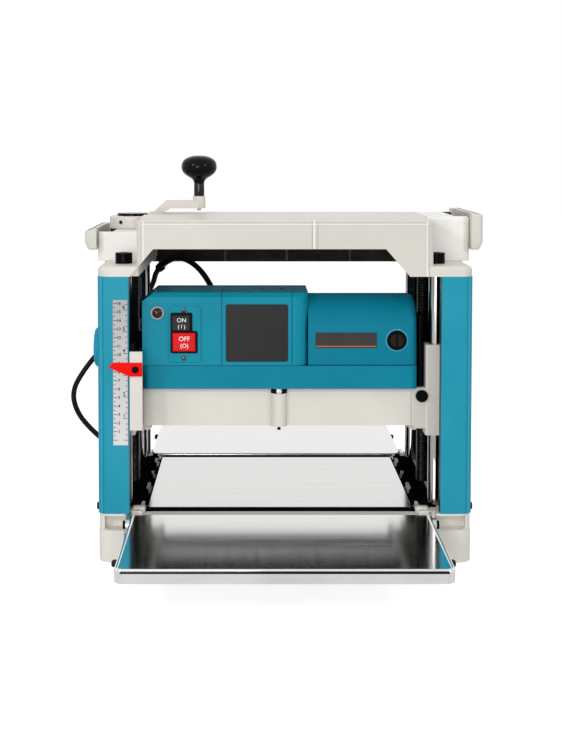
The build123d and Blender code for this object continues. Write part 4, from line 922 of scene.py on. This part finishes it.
# Two screws on the housing's top, and bare dark plates on the housing and on the motor
switch_box, motor_box = Box("switch_housing"), Box("motor_housing")
for name, x in (("housing_screw_left", -26), ("housing_screw_right", -2)):
    cross_screw(name, (x, -100, switch_box.top), to_top, 2.4, 1.8, "head")
for name, carrier, outline, raised, sunk, corner, edge, paint in (
    ("housing_plate", switch_box, (-69.4, 4.1, 230.9, 299.0), 0.6, 0.1, 2.5, 0.3, plate_black),
    ("motor_strip", motor_box, (36.6, 109.2, 246.9, 265.2), 0.5, 0.1, 1.2, 0.2, strip_brown),
    ("motor_strip_line", motor_box, (37.4, 108.4, 248.4, 249.4), 0.6, -0.3, 0.3, 0.05, orange_ink),
):
    form = front_plate(*outline, carrier.front - raised, carrier.front + sunk, corner, edge)
    add_piece(name, [form], "head", paint, smooth=False)

# Bezel round the motor's front brush cap, in a paler teal as a painted highlight, and the slotted
# disc in it
caps = Box("brush_caps")
cap_r = 11.6
cap_x, cap_z = caps.right - cap_r, caps.foot + cap_r
inner_r = cap_r + 0.2
profile = [(13.6, 0), (13.4, 3.4), (12.9, 3.9), (12.2, 3.9), (inner_r, 3.4), (inner_r, 0)]
bezel = lathe(profile, (cap_x, caps.front + 5.4, cap_z), to_front, steps=40)
add_piece("cap_bezel", [bezel], "head", highlight_teal, smooth=False, ends="joined")
disc_half = 82  # degrees to each side of level, which leaves the slot open
half_disc = [math.radians(disc_half * (2 * n / 14 - 1)) for n in range(15)]
forms = []
for _, side in both_sides:
    rings = []
    for r, raised in ((7.9, -0.1), (7.9, 0.2), (7.5, 0.45)):
        arc = [(cap_x + side * r * math.cos(t), cap_z + r * math.sin(t)) for t in half_disc]
        rings.append(across_y(arc, caps.front - raised))
    forms.append(rings)
add_piece("cap_disc", forms, "head", cap_brown, smooth=False)

# Knob of the crank: a flat-topped bulb on a slim neck with a sleeve, as (radius, height) points
knob_box = Box("crank_knob")
knob_axis = (knob_box.middle_x, knob_box.middle_y, 0)
bulb = [
    (6.4, 422.3), (6.4, 438.4), (6.9, 440.6), (8.4, 443.2), (11.0, 445.2), (14.2, 447.0),
    (17.2, 449.0), (19.8, 451.4), (21.5, 454.0), (22.4, 456.8), (22.7, 459.6), (22.4, 462.6),
    (21.3, 465.6), (19.3, 468.2), (16.4, 470.3), (12.8, 472.0), (8.6, 473.1), (4.0, 473.6),
    (1.0, 473.7),
]
sleeve = [(6.5, 422.5), (6.6, 422.8), (6.6, 437.6), (6.5, 438.2)]
form = lathe(bulb, knob_axis, to_top, steps=48)
knob = add_piece("knob_bulb", [form], "crank_knob", knob_black)
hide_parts("crank_knob")
form = lathe(sleeve, knob_axis, to_top, steps=40)
add_piece("knob_sleeve", [form], "crank_knob", neck_steel)

# Scale: marks every 5 mm at the left, quarters of an inch at the right, and plain numbers
scale = Box("depth_scale")
scale_zero = scale.foot + 6
mark_raised, mark_sunk, mark_inset = 0.08, 0.05, 0.4
mark_half, mark_long, mark_short = 0.35, 4.6, 2.2
inch = 25.4


def scale_marks(name, count, pitch, major, way):
    """Marks that reach in from a side of the scale, the major ones further."""
    forms = []
    edge = scale.side(way) - way * mark_inset
    for n in range(count):
        z = scale_zero + pitch * n
        tip = edge - way * (mark_short if n % major else mark_long)
        left, right = min(edge, tip), max(edge, tip)
        face, back = scale.front - mark_raised, scale.front + mark_sunk
        forms.append(block(left, right, face, back, z - mark_half, z + mark_half))
    add_piece(name, forms, "chassis", black_ink, smooth=False)


def scale_number(name, n, x, z, size, bold):
    place = (x, scale.front - ink, z)
    label(name, str(n), place, size, black_ink, "chassis", bold)


scale_marks("scale_marks", 33, 5, 2, -1)
scale_marks("scale_inch_marks", 26, inch / 4, 4, 1)
for n in range(1, 17):
    scale_number(f"scale_number_{n}", n, scale.left + 7, scale_zero + 10 * n, 4.8, 0.025)
for n in range(1, 7):
    scale_number(f"scale_inch_{n}", n, scale.right - 4.2, scale_zero + 3.2 + inch * n, 6.0, 0.02)

# Rubber bumpers at the folding tables' sides
tables = [(end, Box(f"{end_name}_table")) for end_name, end in both_ends]
bumper_inset, bumper_up = 58.5, 4
bumper_y, bumper_z, bumper_corner = 5, 3.2, 2
for end, table in tables:
    for side_name, side in both_sides:
        y, z = table.end(end) - end * bumper_inset, table.foot + bumper_up
        rings = []
        for inset, out in ((0, 0), (0, 6.0), (1.0, 7.4)):
            half_y, half_z = bumper_y - inset, bumper_z - inset
            outline = rounded(y - half_y, y + half_y, z - half_z, z + half_z, bumper_corner)
            rings.append(across_x(outline, table.side(side) + side * out))
        add_piece(f"bumper_{table.node}_{side_name}", [rings], table.node, rubber)

# Black strips along the bed
trim_foot, trim_top = bed.foot + 0.2, bed.top - 0.4
strip_gap, strip_wide = 0.3, 2.0
for side_name, side in both_sides:
    x = bed.side(side) + side * strip_gap
    outer = x + side * strip_wide
    outline = [
        (x, trim_foot), (outer, trim_foot), (outer, bed.top - 0.8),
        (x + side * 0.6, bed.top + 0.2), (x, trim_top),
    ]
    strip = [across_y(outline, y) for y in (bed.front, bed.rear)]
    add_piece(f"bed_strip_{side_name}", [strip], "chassis", matt_black, smooth=False)

# Notched black rails between the bed and the columns
rail_foot, rail_notch = bed.top + 0.8, bed.top + 2
rail_inner, rail_outer = 6.8, 13.5
for side_name, side in both_sides:
    forms = []
    for low, high, tall in rails:
        top = bed.top + tall
        outline = [
            (low, rail_foot), (low + 1, top - 1.2), (low + 4, top), (high - 5, top),
            (high, rail_notch), (high, rail_foot),
        ]
        reach = (rail_inner, rail_outer)
        forms.append([across_x(outline, bed.side(side) + side * out) for out in reach])
    add_piece(f"bed_rail_{side_name}", forms, "chassis", matt_black, smooth=False)

# Dark edging on the ends of the bed, and a dark strip on the shelf behind it: painted shade, put
# where shade falls
edge_inset, edge_sunk, edge_raised = 2.5, 0.1, 0.7
for end_name, end in both_ends:
    inner, outer = bed.end(end) - end * edge_sunk, bed.end(end) + end * edge_raised
    left, right = bed.left + edge_inset, bed.right - edge_inset
    shade_edging = block(left, right, inner, outer, trim_foot, trim_top)
    add_piece(f"bed_shade_edge_{end_name}", [shade_edging], "chassis", matt_black, smooth=False)
shelf_inset, shelf_gap, shelf_deep = 0.5, 14, 11.5
shelf_y = bed.rear + shelf_gap
shelf_shade_strip = block(
    bed.left + shelf_inset, bed.right - shelf_inset, shelf_y, shelf_y + shelf_deep,
    bed.foot - 0.1, bed.foot + 1,
)
add_piece("rear_shelf_strip", [shelf_shade_strip], "chassis", matt_black, smooth=False)

# Rolled rims round the folding tables, as (inset, height over the table) points
rim_corner, rim_start = 10, 2
rim = ((0.6, -1), (0, -0.5), (0.3, 0.3), (1.2, 1), (2.2, 1.2), (3.4, 0.7), (4, -0.1))
for end, table in tables:
    near, far = abs(table.end(-end)), abs(table.end(end))
    rings = []
    for inset, up in rim:
        left, right = table.left + inset, table.right - inset
        outline = rounded(left, right, near, far - inset, rim_corner - inset)
        far_corners = outline[:len(outline) // 2]
        outline = [(right, near + rim_start), *far_corners, (left, near + rim_start)]
        rings.append(across_z([(x, end * y) for x, y in outline], table.top + up))
    add_piece(
        f"{table.node}_rim", [rings], table.node, chrome,
        ends="open", closed=False,
    )

# Black strips along the tops of the carrying grips
grip_strip_inner, grip_strip_outer, grip_strip_end = 6.1, 2.6, 8
for side_name, side in both_sides:
    grip = Box(f"{side_name}_grip")
    outside = abs(grip.side(side))
    rings = []
    for inset, up in ((0, -0.2), (0, 0.1), (0.3, 0.25)):
        end_inset = grip_strip_end + inset
        outline = rounded(
            outside - grip_strip_inner + inset, outside - grip_strip_outer - inset,
            grip.front + end_inset, grip.rear - end_inset, 1.5,
        )
        rings.append(across_z([(side * x, y) for x, y in outline], grip.top + up))
    add_piece(f"grip_strip_{side_name}", [rings], "chassis", black, smooth=False)

# Cream lugs with a screw at the front corners of the bed
lug_gap, lug_half, lug_corner = 10.5, 8, 3
lug_front, lug_rear, lug_screw_z = bed.front - 17, bed.front - 6, bed.top - 0.6
for side_name, side in both_sides:
    x = bed.side(side) + side * lug_gap
    rings = []
    for inset, up in ((0, -4.1), (0, 1.5), (0.6, 3.2), (2.2, 4.4)):
        half = lug_half - inset
        corner = lug_corner - inset / 2
        outline = rounded(x - half, x + half, lug_front + inset, lug_rear - inset, corner)
        rings.append(across_z(outline, bed.top + up))
    name = f"bed_lug_{side_name}"
    add_piece(name, [rings], "chassis", cream)
    cross_screw(f"{name}_screw", (x, lug_front, lug_screw_z), to_front, 2.2, 1.1, "chassis")

# A black sheet with grey beads on the inside of the rear beam: painted shade on its face and ribs
beam = Box("top_frame")
shade_sheet_x, shade_sheet_foot, shade_sheet_top = 172, 0.4, 18.8
inner_shade = block(
    -shade_sheet_x, shade_sheet_x, beam.rear - 9, beam.rear - 7.9,
    beam.foot + shade_sheet_foot, beam.foot + shade_sheet_top,
)
add_piece("rear_beam_shade_sheet", [inner_shade], "chassis", painted_shade_black, smooth=False)
bead_r = 1.6
bead = [(bead_r, beam.foot + 1), (bead_r, beam.foot + 18.4)]
beads = [lathe(bead, (x, beam.rear - 8.6, 0), to_top, steps=12) for x in (-76, 10, 98)]
add_piece("rear_beam_beads", beads, "chassis", shaded_bead_grey, smooth=False)

# Socket screw in the side of the crank's hub
hub_side, hub_way = (-203.72, -26.06, 389.7), (-0.44, -0.9, 0)
socket = [(2.6, 0), (2.6, 0.5), (1.3, 0.5), (1.2, 0.1)]
screw = lathe(socket, hub_side, hub_way, steps=6)
add_piece("hub_screw", [screw], "crank", dark_steel, smooth=False)

# Ribs on the strain relief, which tapers to the rear
relief = Box("strain_relief")
relief_r, relief_taper, rib_raised, rib_deep = 8.0, 2.8, 0.7, 0.9
first_rib, rib_pitch = relief.front + 4, 5
forms = []
for n in range(5):
    y = first_rib + rib_pitch * n
    share = (y - relief.front) / (relief.rear - relief.front)
    r = relief_r - relief_taper * share + rib_raised
    rib = [(r - rib_deep, 0), (r, 0.5), (r, 1.9), (r - rib_deep, 2.4)]
    forms.append(lathe(rib, (relief.middle_x, y, relief.middle_z), to_rear))
add_piece("relief_ribs", forms, "head", rubber)

# Ribs on the plug, wider one by one, and the tie round the coil
first_rib, rib_pitch = plug.right - 8, 4.2
forms = []
for n in range(4):
    x = first_rib - rib_pitch * n
    wide = 8.5 + 1.7 * n
    tall = 7.2 + 0.75 * n
    rings = []
    for shift, grow in ((0, -0.6), (0.5, 0.5), (1.7, 0.5), (2.2, -0.6)):
        outline = rounded(-wide - grow, wide + grow, -tall - grow, tall + grow, 6)
        outline = [(plug.middle_y + y, plug.middle_z + z) for y, z in outline]
        rings.append(across_x(outline, x - shift))
    forms.append(rings)
plug_ribs = add_piece("plug_ribs", forms, "chassis", black)
tie_x, tie_y = coil_x - 42.4, 300
tie_half, tie_top, tie_corner = 14.6, 16.6, 4.2
rings = []
for along, grow in ((-5.5, 0), (-5, 0.3), (5, 0.3), (5.5, 0)):
    half = tie_half + grow
    outline = rounded(tie_x - half, tie_x + half, 0, tie_top + grow, tie_corner)
    rings.append(across_y(outline, tie_y + along))
coil_tie = add_piece("coil_tie", [rings], "chassis", black, smooth=False)
